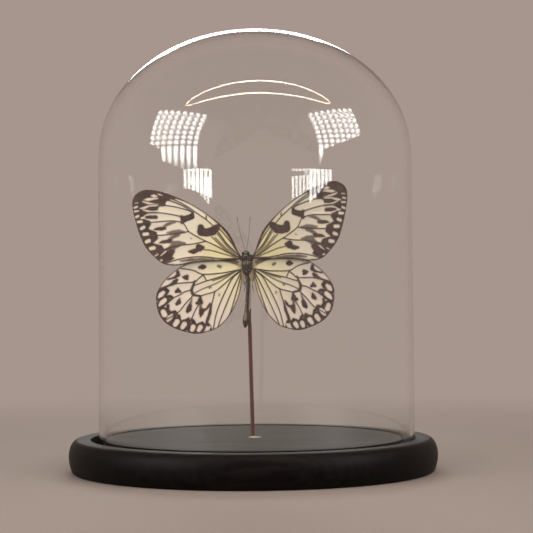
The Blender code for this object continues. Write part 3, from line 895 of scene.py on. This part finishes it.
HINDWING_RINGED = {  # these ovals have a broad dark ring all round
    "oval 3": [(48.0, -22.2, 0.8), (47.0, -21.0, 1.4), (45.8, -19.8, 1.1)],
    "oval 4": [(47.8, -26.7, 0.7), (46.5, -25.3, 1.4), (45.0, -23.9, 1.2)],
    "oval 5": [(45.9, -30.2, 1.4), (45.2, -31.8, 1.6)],
    "oval 6": [(43.4, -34.8, 1.1), (42.4, -33.6, 1.4), (41.2, -32.3, 1.0)],
    "oval 7": [(39.5, -37.3, 1.3), (38.5, -35.7, 1.5)],
    "oval 8": [(35.6, -38.9, 1.2), (34.4, -37.1, 1.45)],
    "oval 9": [(30.3, -40.2, 1.2), (29.7, -38.6, 1.4)],
    "oval 10": [(26.6, -40.3, 1.15), (25.7, -38.7, 1.35)],
}
RING_WIDTH = 1.15
HINDWING_SMOKE_AND_SHADE = {
    "near spot": [(16.0, -5.6, 0.7), (14.8, -6.1, 0.8)],
    "cell spot": [(20.7, -17.4, 0.6), (19.9, -17.1, 0.4)],
    "rear spot": [(15.5, -21.0, 0.5), (15.4, -21.8, 0.4)],
    "tail of spot 5": [(30.3, -23.0, 0.4), (31.1, -26.1, 0.8)],
    "tail of spot 6": [(25.7, -26.4, 0.9), (25.6, -29.2, 0.9)],
    # The wing root stroke is painted shade below the forewing's rear edge, where it overlaps.
    "wing root": [(4.0, -4.8, 1.2), (9.0, -3.2, 1.0), (16.0, -1.8, 0.7), (23.0, -2.2, 0.4)],
}

# %% [markdown]
# ## Cutting the membrane
# The wing is a sheet thinner than paper. It could be a flat plane with a cut-out, but its veins
# have to lie in creases, so the sheet needs points along each of them. Delaunay triangulation
# fills an outline with triangles and takes any points that it is given: the outline's, the veins'
# and an even spread between them. The sheet is pulled back slightly between its veins, bowed very
# gently, and closed with a rear face, because a real membrane has two sides.

# %% Wing mesh
MEMBRANE = 0.12
SPACING = 0.42
VEIN_ROOT, VEIN_TIP = 0.34, 0.17


def wing_height(places, to_vein):
    """How far back a place lies: gently bowed, and sunk between the veins."""
    out, up = np.asarray(places, float).T
    bow = 0.22 * np.sin(out / 13) + 0.15 * np.sin(up / 11 + 1)
    return 0.1 + bow + 0.2 * (1 - np.exp(-((to_vein / 1.3) ** 2)))


def even_spread(outline, ridges):
    """Places in a triangular pattern inside the outline, clear of the outline and the ridges."""
    low, high = outline.min(axis=0), outline.max(axis=0)
    rows = np.arange(low[1], high[1], SPACING * 0.866)
    columns = np.arange(low[0], high[0], SPACING)
    grid = [(x + (SPACING / 2 if i % 2 else 0), y) for i, y in enumerate(rows) for x in columns]
    grid = np.array(grid)
    grid = grid[within(grid, outline) < -0.6 * SPACING]
    cells = {tuple(cell) for cell in np.round(ridges / SPACING).astype(int)}
    return np.array([g for g in grid if tuple(np.round(g / SPACING).astype(int)) not in cells])


def cut_sheet(outline, ridges):
    """Places and triangles of a flat sheet with points along its ridges."""
    ridges = ridges[within(ridges, outline) < -0.5 * SPACING]
    _, first = np.unique(np.round(ridges / (0.6 * SPACING)), axis=0, return_index=True)
    ridges = ridges[np.sort(first)]
    places = np.concatenate([outline, ridges, even_spread(outline, ridges)])
    edge = list(range(len(outline)))
    cut = delaunay_2d_cdt([Vector(p) for p in places], [], [edge], 1, 1e-5)
    return np.array([tuple(p) for p in cut[0]]), [tuple(face) for face in cut[2]]


def two_sided(places, faces, height):
    """The sheet as a closed body: front face, rear face and a rim."""
    front = np.column_stack([places[:, 0], height, places[:, 1]])
    rear = front + (0, MEMBRANE, 0)
    count = len(places)
    solid = [tuple(face) for face in faces]
    solid += [tuple(i + count for i in reversed(face)) for face in faces]
    sides = {(a, b) for face in faces for a, b in zip(face, face[1:] + face[:1])}
    for a, b in sides:
        if (b, a) not in sides:
            solid.append((b, a, a + count, b + count))
    return np.concatenate([front, rear]), solid


def vein_tubes(veins, all_lines):
    """Tubes that thin from the body outwards and along each vein, lying on the membrane."""
    parts = []
    for stops in veins.values():
        line = smooth_line(stops, 8)
        out = np.linalg.norm(line - line[0], axis=1)
        from_body = np.clip(np.linalg.norm(line, axis=1) / 60, 0, 1)
        radii = VEIN_ROOT + (VEIN_TIP - VEIN_ROOT) * from_body
        radii = radii * (1 - 0.35 * out / out.max())
        height = wing_height(line, along_strokes(line, all_lines)) + MEMBRANE / 2
        path = np.column_stack([line[:, 0], height, line[:, 1]])
        parts.append(tube(path, radii, 8, 0.75))
    return joined(parts)


# %% [markdown]
# ## Wing scales
# Butterfly wings are covered in overlapping scales, so the colour is matt and slightly powdery,
# and the edge of a marking breaks up into single scales instead of a clean line. The finish takes
# the stored distances, shakes them with fine noise and mixes three colours: cream, smoky brown and
# near-black. On the hindwing's root the smoky brown is also painted shade, just below the forewing's
# rear edge. The pale areas let some light through, as a dried wing does, and the dark ones don't.

# %% Wing finish
def wing_finish(name, near, far):
    finish = Finish(name)
    where = finish.place()
    marking, smoke = finish.stored("marking"), finish.stored("smoke")
    vein, outwards = finish.stored("vein"), finish.stored("outwards")
    scales = finish.noise(where, 0.16, 2.0, 0.7)
    patches = finish.noise(where, 3.5, 3.0)
    shake = (scales - 0.5) * 0.5 + (patches - 0.5) * 0.4
    cream = finish.mix(finish.fade(outwards + (patches - 0.5) * 0.3, 0.0, 0.8), near, far)
    cream = finish.mix(scales * 0.18, cream, colour(206, 190, 172))
    # Smoky brown patches, and on the hindwing's root painted shade below the forewing's edge.
    smoke_and_shade_share = 1 - finish.fade(smoke + shake * 1.2, -0.6, 0.6)
    fringe = 1 - finish.fade(marking + shake * 1.5, 0.0, 0.9)
    edging = 1 - finish.fade(vein + shake * 0.4, 0.2, 0.62)
    tone = finish.mix(smoke_and_shade_share * 0.92, cream, colour(76, 54, 47))
    tone = finish.mix(fringe * 0.4, tone, colour(110, 84, 72))
    tone = finish.mix(edging * 0.85, tone, colour(50, 30, 26))
    dark = 1 - finish.fade(marking + shake, -0.22, 0.28)
    black = finish.mix(finish.fade(patches, 0.35, 0.65), colour(32, 19, 17), colour(62, 36, 31))
    tone = finish.mix(dark, tone, black)
    powder = finish.node(
        "ShaderNodeBsdfPrincipled", {}, Base_Color=tone, Roughness=0.62 + scales * 0.2,
        Specular_IOR_Level=0.3, Sheen_Weight=0.15, Sheen_Roughness=0.5,
        Normal=finish.bump(scales, 0.03, 0.5),
    )  # fmt: skip
    through = finish.node("ShaderNodeBsdfTranslucent", {}, Color=near)
    share = (1 - dark) * (1 - smoke_and_shade_share) * 0.12
    return finish.surface(finish.node("ShaderNodeMixShader", {}, share, powder, through))


def vein_finish():
    finish = Finish("wing veins")
    speckle = finish.noise(finish.place(), 0.4, 3.0)
    tone = finish.mix(speckle, colour(24, 15, 14), colour(66, 42, 35))
    return finish.surface(finish.node(
        "ShaderNodeBsdfPrincipled", {}, Base_Color=tone, Roughness=0.45 + speckle * 0.2,
        Normal=finish.bump(speckle, 0.04, 0.5),
    ))  # fmt: skip


FOREWING_CREAM = wing_finish("forewing scales", colour(231, 215, 164), colour(236, 222, 207))
HINDWING_CREAM = wing_finish("hindwing scales", colour(235, 221, 180), colour(234, 216, 205))
VEIN_DARK = vein_finish()

# %% [markdown]
# ## Four wings
# Left and right wings share one pattern, mirrored. They were spread by hand, so each is raised
# and swung by its own small angle about the thorax. Object transforms do that, and they keep the
# pattern's own coordinates flat and simple.

# %% Wings
WING_ROOT = 5.3
SIDES = {"left": -1, "right": 1}
RAISE = {"forewing_left": 14, "forewing_right": 18.5, "hindwing_left": 12, "hindwing_right": 15.5}
SWING = {"forewing_left": 0, "forewing_right": 2.8, "hindwing_left": 0, "hindwing_right": 3.8}
SETBACK = {"forewing": 0.0, "hindwing": 1.0}


def wing_values(places, veins, folds, outline, dark, pale, smoke, tip=None, spots=None, ringed=None):
    """The numbers that the finish reads at each place of the sheet."""
    marking = along_strokes(places, dark.values())
    if ringed:
        pale = pale | ringed
        marking = np.minimum(marking, along_strokes(places, ringed.values()) - RING_WIDTH)
    rim = -within(places, outline) - 0.42
    marking = np.minimum(marking, rim)
    if tip:
        marking = np.minimum(marking, within(places, tip))
    marking = np.maximum(marking, -along_strokes(places, pale.values()))
    if spots:
        marking = np.minimum(marking, along_strokes(places, spots.values()))
    marking = np.minimum(marking, rim + 0.2)
    lines = [smooth_line(stops, 6) for stops in (*veins.values(), *folds.values())]
    return {
        "marking": marking,
        "smoke": along_strokes(places, smoke.values()),
        "vein": along_strokes(places, lines),
        "outwards": np.clip((np.linalg.norm(places, axis=1) - 12) / 34, 0, 1),
    }


def make_wing(kind, word, outline, veins, folds, finish, **pattern):
    side = SIDES[word]
    edge = smooth_line(outline, 12, closed=True)[::-1]
    lines = [smooth_line(stops, 10) for stops in veins.values()]
    places, faces = cut_sheet(edge, np.concatenate(lines))
    values = wing_values(places, veins, folds, edge, **pattern)
    height = wing_height(places, along_strokes(places, lines))
    sheet = two_sided(places, faces, height)
    tubes = vein_tubes(veins, lines)
    if side < 0:
        sheet, tubes = mirrored(sheet), mirrored(tubes)
    values = {title: np.concatenate([v, v]) for title, v in values.items()}
    name = f"{kind}_{word}"
    swing, lift = (-side * math.radians(angle[name]) for angle in (SWING, RAISE))
    hinge = Matrix.Translation(Vector((0, SETBACK[kind], WING_ROOT)) * MM)
    hinge = hinge @ Matrix.Rotation(lift, 4, "Z") @ Matrix.Rotation(swing, 4, "Y")
    wing = shape(f"{name}_sheet", [sheet, tubes], [finish, VEIN_DARK], specimen @ hinge, values)
    stand_in(wing, f"{kind}_cream", name)


def mirrored(part):
    points, faces = part
    return np.array(points) * (-1, 1, 1), [tuple(reversed(face)) for face in faces]


for word in SIDES:
    make_wing(
        "forewing", word, FOREWING, FOREWING_VEINS, FOREWING_FOLDS, FOREWING_CREAM,
        dark=FOREWING_DARK, pale=FOREWING_PALE, smoke=FOREWING_SMOKE, tip=FOREWING_TIP,
        spots=FOREWING_SPOTS,
    )  # fmt: skip
    make_wing(
        "hindwing", word, HINDWING, HINDWING_VEINS, HINDWING_FOLDS, HINDWING_CREAM,
        dark=HINDWING_DARK, pale=HINDWING_PALE, smoke=HINDWING_SMOKE_AND_SHADE, ringed=HINDWING_RINGED,
    )  # fmt: skip

# %% [markdown]
# ## The body
# The thorax is a furry block of flight muscle: fuller at the shoulders, where the wings join, with
# a waist before the head. Rings of points whose radius follows a formula make it in one piece, and
# the same helper serves the head, the eyes and the abdomen. Pale dots and streaks are painted on
# its back with strokes, as on the wings.

# %% Body shapes
def egg(half, centre, rings=32, around=40, swell=None):
    """An egg-shaped solid. Swell maps a direction (x, y, z) to a factor on its radius."""
    points = []
    for i in range(1, rings):
        polar = math.pi * i / rings
        for k in range(around):
            turn = math.tau * k / around
            wide = math.sin(polar)
            way = np.array((wide * math.cos(turn), wide * math.sin(turn), math.cos(polar)))
            points.append(way * (swell(way) if swell else 1))
    points += [(0, 0, 1), (0, 0, -1)]
    last = rings - 2
    faces = []
    for k in range(around):
        j = (k + 1) % around
        for i in range(last):
            faces.append((i * around + k, (i + 1) * around + k, (i + 1) * around + j, i * around + j))
        faces.append((len(points) - 2, k, j))
        faces.append((len(points) - 1, last * around + j, last * around + k))
    return np.array(points) * half + centre, faces


def thorax_swell(way):
    """Two shoulder lobes, a crease between them and a collar at the front."""
    x, y, z = way
    lobes = 0.1 * math.exp(-(((abs(x) - 0.7) / 0.3) ** 2) - ((z - 0.25) / 0.35) ** 2)
    crease = 0.07 * math.exp(-((x / 0.1) ** 2)) * (y < 0)
    collar = 0.1 * math.exp(-(((z - 0.78) / 0.1) ** 2))
    return 0.93 + lobes - crease - collar


THORAX_PALE = {
    "inner streak": [(0.55, 2.2, 0.06), (0.7, 0.9, 0.12), (0.6, -0.6, 0.05)],
    "outer streak": [(1.5, 2.4, 0.06), (1.7, 1.4, 0.15), (1.6, 0.4, 0.06)],
    "shoulder dot": [(2.2, 2.0, 0.18), (2.3, 1.7, 0.18)],
    "rear dot": [(1.5, -2.4, 0.18), (1.3, -2.8, 0.12)],
    "side dot": [(2.2, -1.0, 0.16), (2.2, -1.3, 0.15)],
    "shield": [(0.0, -3.1, 0.14), (0.0, -3.7, 0.18)],
    "collar dot": [(0.8, 3.5, 0.16), (0.65, 3.55, 0.16)],
}


def insect_finish(name, dark, light, pale):
    """Horny skin with a dusting of scales, and pale marks where the mesh asks for them."""
    finish = Finish(name)
    where = finish.place()
    dust = finish.noise(where, 0.25, 3.0, 0.7)
    cloud = finish.noise(where, 1.4, 2.0)
    tone = finish.mix(finish.fade(cloud, 0.35, 0.7), dark, light)
    mark = 1 - finish.fade(finish.stored("marking") + (dust - 0.5) * 0.35, -0.06, 0.12)
    tone = finish.mix(mark, tone, pale)
    return finish.surface(finish.node(
        "ShaderNodeBsdfPrincipled", {}, Base_Color=tone, Roughness=0.45 + dust * 0.25,
        Normal=finish.bump(dust, 0.06, 0.8), Specular_IOR_Level=0.3,
    ))  # fmt: skip


BODY_BLACK = insect_finish("black body", colour(8, 6, 6), colour(26, 19, 17), colour(186, 174, 158))
SHOULDER_PAD = (1.9, -0.2, 3.9)
chest = egg(THORAX_HALF, THORAX_SINK, swell=thorax_swell)
pads = [egg((1.35, 1.5, 1.9), np.array(SHOULDER_PAD) * (s, 1, 1), 20, 24) for s in (-1, 1)]
thorax_points, thorax_faces = joined([chest] + pads)
back = np.column_stack([np.abs(thorax_points[:, 0]), thorax_points[:, 2]])
thorax_marks = along_strokes(back, THORAX_PALE.values()) + 2 * (thorax_points[:, 1] > 0.5)
thorax = shape(
    "thorax_segment", [(thorax_points, thorax_faces)], [BODY_BLACK], specimen,
    {"marking": thorax_marks},
)  # fmt: skip
stand_in(thorax, "body_black", "thorax")

# %% [markdown]
# The head is small, with two large eyes of hundreds of facets. A Voronoi texture in a bump gives
# the facets: at this size that is enough, because each is thinner than a hair.

# %% Head and feelers
def eye_finish():
    finish = Finish("dark eye")
    facets = finish.node("ShaderNodeTexVoronoi", {}, finish.place(), Scale=1 / (0.09 * MM), out=0)
    tone = finish.mix(facets, colour(12, 8, 8), colour(36, 24, 21))
    return finish.surface(finish.node(
        "ShaderNodeBsdfPrincipled", {}, Base_Color=tone, Roughness=0.22,
        Normal=finish.bump(facets, 0.02, 0.6),
    ))  # fmt: skip


def head_parts():
    skull = egg((1.45, 1.4, 1.45), HEAD, 20, 28)
    neck = egg((1.9, 1.6, 1.9), HEAD * (0.5, 0, 0) + (0, 0, 4.2), 20, 28)
    eyes = [egg((1.0, 1.15, 1.2), HEAD + (s * 1.2, -0.15, 0.1), 20, 24) for s in (-1, 1)]
    palps = [
        tube(smooth_line([HEAD + (s * 0.45, 0.3, 0.9), HEAD + (s * 0.55, -0.15, 1.45),
                          HEAD + (s * 0.5, -0.5, 1.85)], 6), np.linspace(0.34, 0.1, 13), 10)
        for s in (-1, 1)
    ]  # fmt: skip
    return joined([skull, neck] + palps), joined(eyes)


HEAD_PALE = {
    "brow": [(0.35, 0.75, 0.16), (0.3, 0.55, 0.14)],
    "nape": [(0.4, -0.7, 0.2), (0.5, -0.9, 0.15)],
}
skull, eyes = head_parts()
face = np.column_stack([np.abs(skull[0][:, 0] - HEAD[0]), skull[0][:, 2] - HEAD[2]])
face[skull[0][:, 2] < HEAD[2] - 1.2] += 5  # the neck stays plain
head = shape(
    "head_and_eyes", [skull, eyes], [BODY_BLACK, eye_finish()], specimen,
    {"marking": along_strokes(face, HEAD_PALE.values()) + 2 * (skull[0][:, 1] > HEAD[1] + 0.6)},
)  # fmt: skip
stand_in(head, "body_black", "head")

FEELER_REACH = {"left": (-4.0, -3.0, 18.3), "right": (2.8, -3.0, 18.3)}
FEELER_RADIUS, CLUB_RADIUS = 0.11, 0.08


def plain_black():
    finish = Finish("black horn")
    rings = finish.noise(finish.place(), 0.3, 2.0, stretch=(0.3, 0.3, 1.0))
    tone = finish.mix(rings, colour(12, 9, 9), colour(46, 34, 30))
    return finish.surface(finish.node(
        "ShaderNodeBsdfPrincipled", {}, Base_Color=tone, Roughness=0.4 + rings * 0.2,
        Normal=finish.bump(rings, 0.04, 0.6),
    ))  # fmt: skip


HORN = plain_black()
for word, side in SIDES.items():
    t = np.linspace(0, 1, 60)
    start = HEAD + (side * 0.25 + 0.25, -0.9, 1.2)
    reach = np.array(FEELER_REACH[word]) + (0, 0, 0.5)
    path = start + t[:, None] * reach
    path[:, 0] += side * 0.35 * np.sin(math.pi * t)
    club = np.clip((t - 0.8) / 0.15, 0, 1) - np.clip((t - 0.96) / 0.04, 0, 1)
    joints = 0.012 * np.sin(t * math.tau * 30)
    radii = FEELER_RADIUS * (1 - 0.35 * t) + joints + CLUB_RADIUS * club
    feeler = shape(f"feeler_{word}", [tube(path, radii, 10)], [HORN], specimen)
    stand_in(feeler, "body_black", f"antenna_{word}")

# %% [markdown]
# ## The abdomen
# The abdomen hangs below the thorax in eight rings that telescope: each is a little wider at its
# rear edge, with a crease before the next. It has dried slightly crooked, with a swollen end.
# A dark stripe runs down its back on one side and the rest is grey-brown.

# %% Abdomen
ABDOMEN_LENGTH = 29
ABDOMEN_START = -5.0
SEGMENTS = 8


def abdomen_axis(t):
    drift = 0.35 - 1.7 * t * t
    return np.array((drift, 0.8 * math.sin(math.pi * t) - 0.4, ABDOMEN_START - ABDOMEN_LENGTH * t))


def abdomen_radius(t):
    bulb = 0.65 * math.exp(-(((t - 0.84) / 0.13) ** 2))
    end = math.sqrt(max(0.0, 1 - max(0.0, (t - 0.8) / 0.2) ** 2.5))
    start = math.sqrt(min(1.0, t / 0.04 + 0.3))
    step = (t * SEGMENTS) % 1
    ring = 0.97 + 0.05 * step - 0.07 * math.exp(-((min(step, 1 - step) / 0.06) ** 2))
    return (1.0 + 0.25 * t + bulb) * end * start * ring


def abdomen_parts():
    shares = np.linspace(0, 1, 200)
    path = np.array([abdomen_axis(t) for t in shares])
    radii = np.array([max(0.02, abdomen_radius(t)) for t in shares])
    points, faces = tube(path, radii, 28, 1.1)
    along = np.concatenate([np.repeat(shares, 28), (0, 1)])
    round_it = points[:, 0] - np.interp(along, shares, path[:, 0])
    values = {
        "along": along,
        "across": round_it / np.maximum(0.3, np.interp(along, shares, radii)),
    }
    return (points, faces), values


def abdomen_finish():
    finish = Finish("brown abdomen")
    where = finish.place()
    along, across = finish.stored("along"), finish.stored("across")
    dust = finish.noise(where, 0.3, 3.0, 0.7)
    cloud = finish.noise(where, 1.6, 2.0)
    tone = finish.mix(finish.fade(cloud, 0.3, 0.7), colour(58, 44, 38), colour(112, 90, 78))
    step = finish.node("ShaderNodeMath", {"operation": "FRACT"}, along * SEGMENTS)
    crease = finish.fade(step + (dust - 0.5) * 0.1, 0.16, 0.02)
    tone = finish.mix(crease * 0.8, tone, colour(26, 17, 15))
    bulb = finish.fade(along, 0.68, 0.74) * finish.fade(along, 0.9, 0.85)
    tone = finish.mix(bulb * 0.7, tone, colour(122, 98, 84))
    stripe = finish.fade(across + (cloud - 0.5) * 0.5 - bulb * 0.5, -0.3, 0.1)
    tone = finish.mix(stripe * 0.95, tone, colour(22, 15, 14))
    tip = finish.fade(along + (cloud - 0.5) * 0.05, 0.85, 0.89)
    tone = finish.mix(tip * 0.85, tone, colour(30, 20, 18))
    return finish.surface(finish.node(
        "ShaderNodeBsdfPrincipled", {}, Base_Color=tone, Roughness=0.5 + dust * 0.25,
        Normal=finish.bump(dust, 0.08, 0.8), Specular_IOR_Level=0.3,
    ))  # fmt: skip


abdomen_mesh, abdomen_values = abdomen_parts()
abdomen = shape("abdomen_rings", [abdomen_mesh], [abdomen_finish()], specimen, abdomen_values)
stand_in(abdomen, "body_brown", "abdomen")

# %% [markdown]
# ## Legs
# The dried legs are folded under the chest, where only a side view shows them. Each has the
# insect's usual parts: a thick upper joint, a long thigh, a thin shin with short spines and a
# foot. Tubes of changing width along a bent line make all of them.

# %% Legs
LEG_STOPS = {
    "mid": [(1.5, 2.6, 0.0), (2.6, 4.4, -3.0), (1.6, 5.2, -8.2), (2.3, 5.4, -11.0)],
    "hind": [(1.5, 2.6, -3.2), (2.9, 3.9, -6.4), (1.9, 4.1, -11.6), (2.5, 4.3, -14.4)],
}
LEG_RADII = (0.3, 0.24, 0.15, 0.08)


def leg_parts(side, pair):
    stops = np.array(LEG_STOPS[pair], float) * (side, 1, 1)
    parts = []
    for (a, b), (thick, thin) in zip(zip(stops, stops[1:]), zip(LEG_RADII, LEG_RADII[1:])):
        share = np.linspace(0, 1, 14)
        swell = 1 + 0.25 * np.sin(math.pi * share)
        radii = (thick + (thin - thick) * share) * swell
        bow = np.outer(np.sin(math.pi * share), (side * 0.12, 0.1, 0))
        parts.append(tube(a + share[:, None] * (b - a) + bow, radii, 10))
        parts.append(egg((thin * 1.25,) * 3, b, 8, 10))
    knee, ankle = stops[1], stops[2]
    for share in np.linspace(0.25, 0.95, 7):
        root = knee + share * (ankle - knee)
        parts.append(tube([root, root + (side * 0.3, 0.1, -0.35)], (0.035, 0.01), 5))
    return joined(parts)


for pair in LEG_STOPS:
    for word, side in SIDES.items():
        leg = shape(f"jointed_leg_{pair}_{word}", [leg_parts(side, pair)], [HORN], specimen)
        stand_in(leg, "body_black", f"leg_{pair}_{word}")

# %% [markdown]
# ## Fur
# A butterfly's body is furry: short and dark on the thorax, cream at the wing roots, and longer
# and orange-cream beside the thorax's end, from where it runs down the hindwings' inner edges.
# Hair curves could draw it, but a plain mesh can be exported anywhere. So each hair is a bent spike,
# three-sided because it is too thin to look round, and a seeded random generator scatters them, so
# every run grows the same coat.

# %% Fur
chance = np.random.default_rng(7)
CHEST_HAIRS, PAD_HAIRS, HEAD_HAIRS, EDGE_HAIRS = 2600, 900, 260, 420


def coat(roots, ways, lengths, width):
    """Bent three-sided spikes, one on each root."""
    roots, ways = np.asarray(roots, float), np.asarray(ways, float)
    ways = ways + chance.normal(0, 0.22, ways.shape)
    ways /= np.linalg.norm(ways, axis=1)[:, None]
    lengths = np.asarray(lengths)[:, None] * chance.uniform(0.6, 1.1, (len(roots), 1))
    bend = chance.normal(0, 0.12, ways.shape) * lengths
    middle = roots + ways * lengths * 0.5 + bend * 0.25
    tips = roots + ways * lengths + bend
    across = np.cross(ways, (0.31, 0.83, 0.46))
    across /= np.linalg.norm(across, axis=1)[:, None]
    deep = np.cross(ways, across)
    corners = [math.cos(a) * across + math.sin(a) * deep for a in np.arange(3) * math.tau / 3]
    low = [roots - 0.1 * ways + width * c for c in corners]
    mid = [middle + 0.7 * width * c for c in corners]
    points = np.stack(low + mid + [tips], axis=1).reshape(-1, 3)
    one = [(0, 1, 4, 3), (1, 2, 5, 4), (2, 0, 3, 5), (3, 4, 6), (4, 5, 6), (5, 3, 6), (2, 1, 0)]
    faces = [tuple(i + 7 * k for i in face) for k in range(len(roots)) for face in one]
    return points, faces


def fur_finish(name, dark, light):
    finish = Finish(name)
    tone = finish.mix(finish.noise(finish.place(), 0.5, 2.0), dark, light)
    return finish.surface(finish.node(
        "ShaderNodeBsdfPrincipled", {}, Base_Color=tone, Roughness=0.6, Specular_IOR_Level=0.3,
    ))  # fmt: skip


def on_thorax(count):
    """Random places on the thorax with the way out of it."""
    ways = chance.normal(0, 1, (count, 3))
    ways /= np.linalg.norm(ways, axis=1)[:, None]
    roots = np.array([w * thorax_swell(w) for w in ways]) * THORAX_HALF + THORAX_SINK
    out = ways / THORAX_HALF
    return roots, out / np.linalg.norm(out, axis=1)[:, None]


def dark_fur():
    """Short hairs that lie back over the chest, its shoulder pads and the head."""
    roots, out = on_thorax(CHEST_HAIRS)
    pad_ways = chance.normal(0, 1, (PAD_HAIRS, 3))
    pad_ways /= np.linalg.norm(pad_ways, axis=1)[:, None]
    side = np.where(np.arange(PAD_HAIRS) % 2, 1, -1)[:, None] * (1, 0, 0) + (0, 1, 1)
    roots = np.concatenate([roots, (pad_ways * (1.3, 1.45, 1.85) + SHOULDER_PAD) * side])
    out = np.concatenate([out, pad_ways * side])
    lying = out + (0, 0, -0.9)
    length = 0.45 + 0.5 * (roots[:, 1] > 0.5) + 0.35 * (np.abs(roots[:, 0]) > 2.0)
    head_ways = chance.normal(0, 1, (HEAD_HAIRS, 3))
    head_ways /= np.linalg.norm(head_ways, axis=1)[:, None]
    head_lengths = np.full(HEAD_HAIRS, 0.45)
    on_head = coat(HEAD + head_ways * 1.3, head_ways + (0, 0, 0.3), head_lengths, 0.03)
    return joined([coat(roots, lying, length, 0.032), on_head])


def tufts(centres, ways, spread, length, count, width=0.045):
    """A tuft of hairs on each side: centres and ways are given for the right one."""
    parts = []
    for side in (-1, 1):
        for centre, way in zip(centres, ways):
            roots = np.array(centre) * (side, 1, 1) + chance.normal(0, 1, (count, 3)) * spread
            out = np.tile(np.array(way) * (side, 1, 1), (count, 1))
            parts.append(coat(roots, out, np.full(count, length), width))
    return joined(parts)


def inner_edge_fur():
    """Hairs that lie along the inner edge of each hindwing."""
    parts = []
    line = smooth_line([(2.3, 0.9, -4.6), (2.6, 0.8, -7.5), (3.1, 0.8, -11.0)], 60)
    for side in (-1, 1):
        picks = line[chance.integers(0, len(line), EDGE_HAIRS)]
        roots = picks * (side, 1, 1) + chance.normal(0, 0.22, picks.shape) * (1, 0.3, 1)
        ways = np.tile(np.array((side * 0.12, -0.25, -1.0)), (len(roots), 1))
        parts.append(coat(roots, ways, np.full(len(roots), 1.5), 0.04))
    return joined(parts)


ROOT_TUFTS = [(3.4, -0.6, 0.6), (3.0, 0.2, 2.2)]
ROOT_WAYS = [(1, -0.3, -0.1), (1, -0.2, 0.4)]
REAR_TUFTS = [(2.3, 0.2, -3.6), (1.7, -0.4, -4.8), (2.1, 0.6, -6.2)]
REAR_WAYS = [(0.5, -0.25, -1), (0.25, -0.3, -1), (0.3, -0.2, -1)]
DARK_FUR = fur_finish("dark fur", colour(24, 17, 15), colour(92, 74, 64))
CREAM_FUR = fur_finish("cream fur", colour(190, 164, 124), colour(238, 222, 188))
ORANGE_FUR = fur_finish("orange-cream fur", colour(188, 146, 108), colour(236, 214, 178))
PALE_FUR = fur_finish("pale fur", colour(206, 186, 150), colour(240, 230, 206))

body_fur = shape("fur_thorax", [dark_fur()], [DARK_FUR], specimen)
stand_in(body_fur, "body_black")
root_hairs = tufts(ROOT_TUFTS, ROOT_WAYS, (0.5, 0.3, 0.5), 1.4, 150)
root_fur = shape("fur_wing_roots", [root_hairs], [CREAM_FUR], specimen)
stand_in(root_fur, "forewing_cream")
rear_hairs = tufts(REAR_TUFTS, REAR_WAYS, (0.35, 0.35, 0.9), 1.9, 170, 0.035)
rear_parts = [rear_hairs, inner_edge_fur()]
rear_fur = shape("fur_hindwing_edges", rear_parts, [ORANGE_FUR, PALE_FUR], specimen)
stand_in(rear_fur, "hindwing_cream")
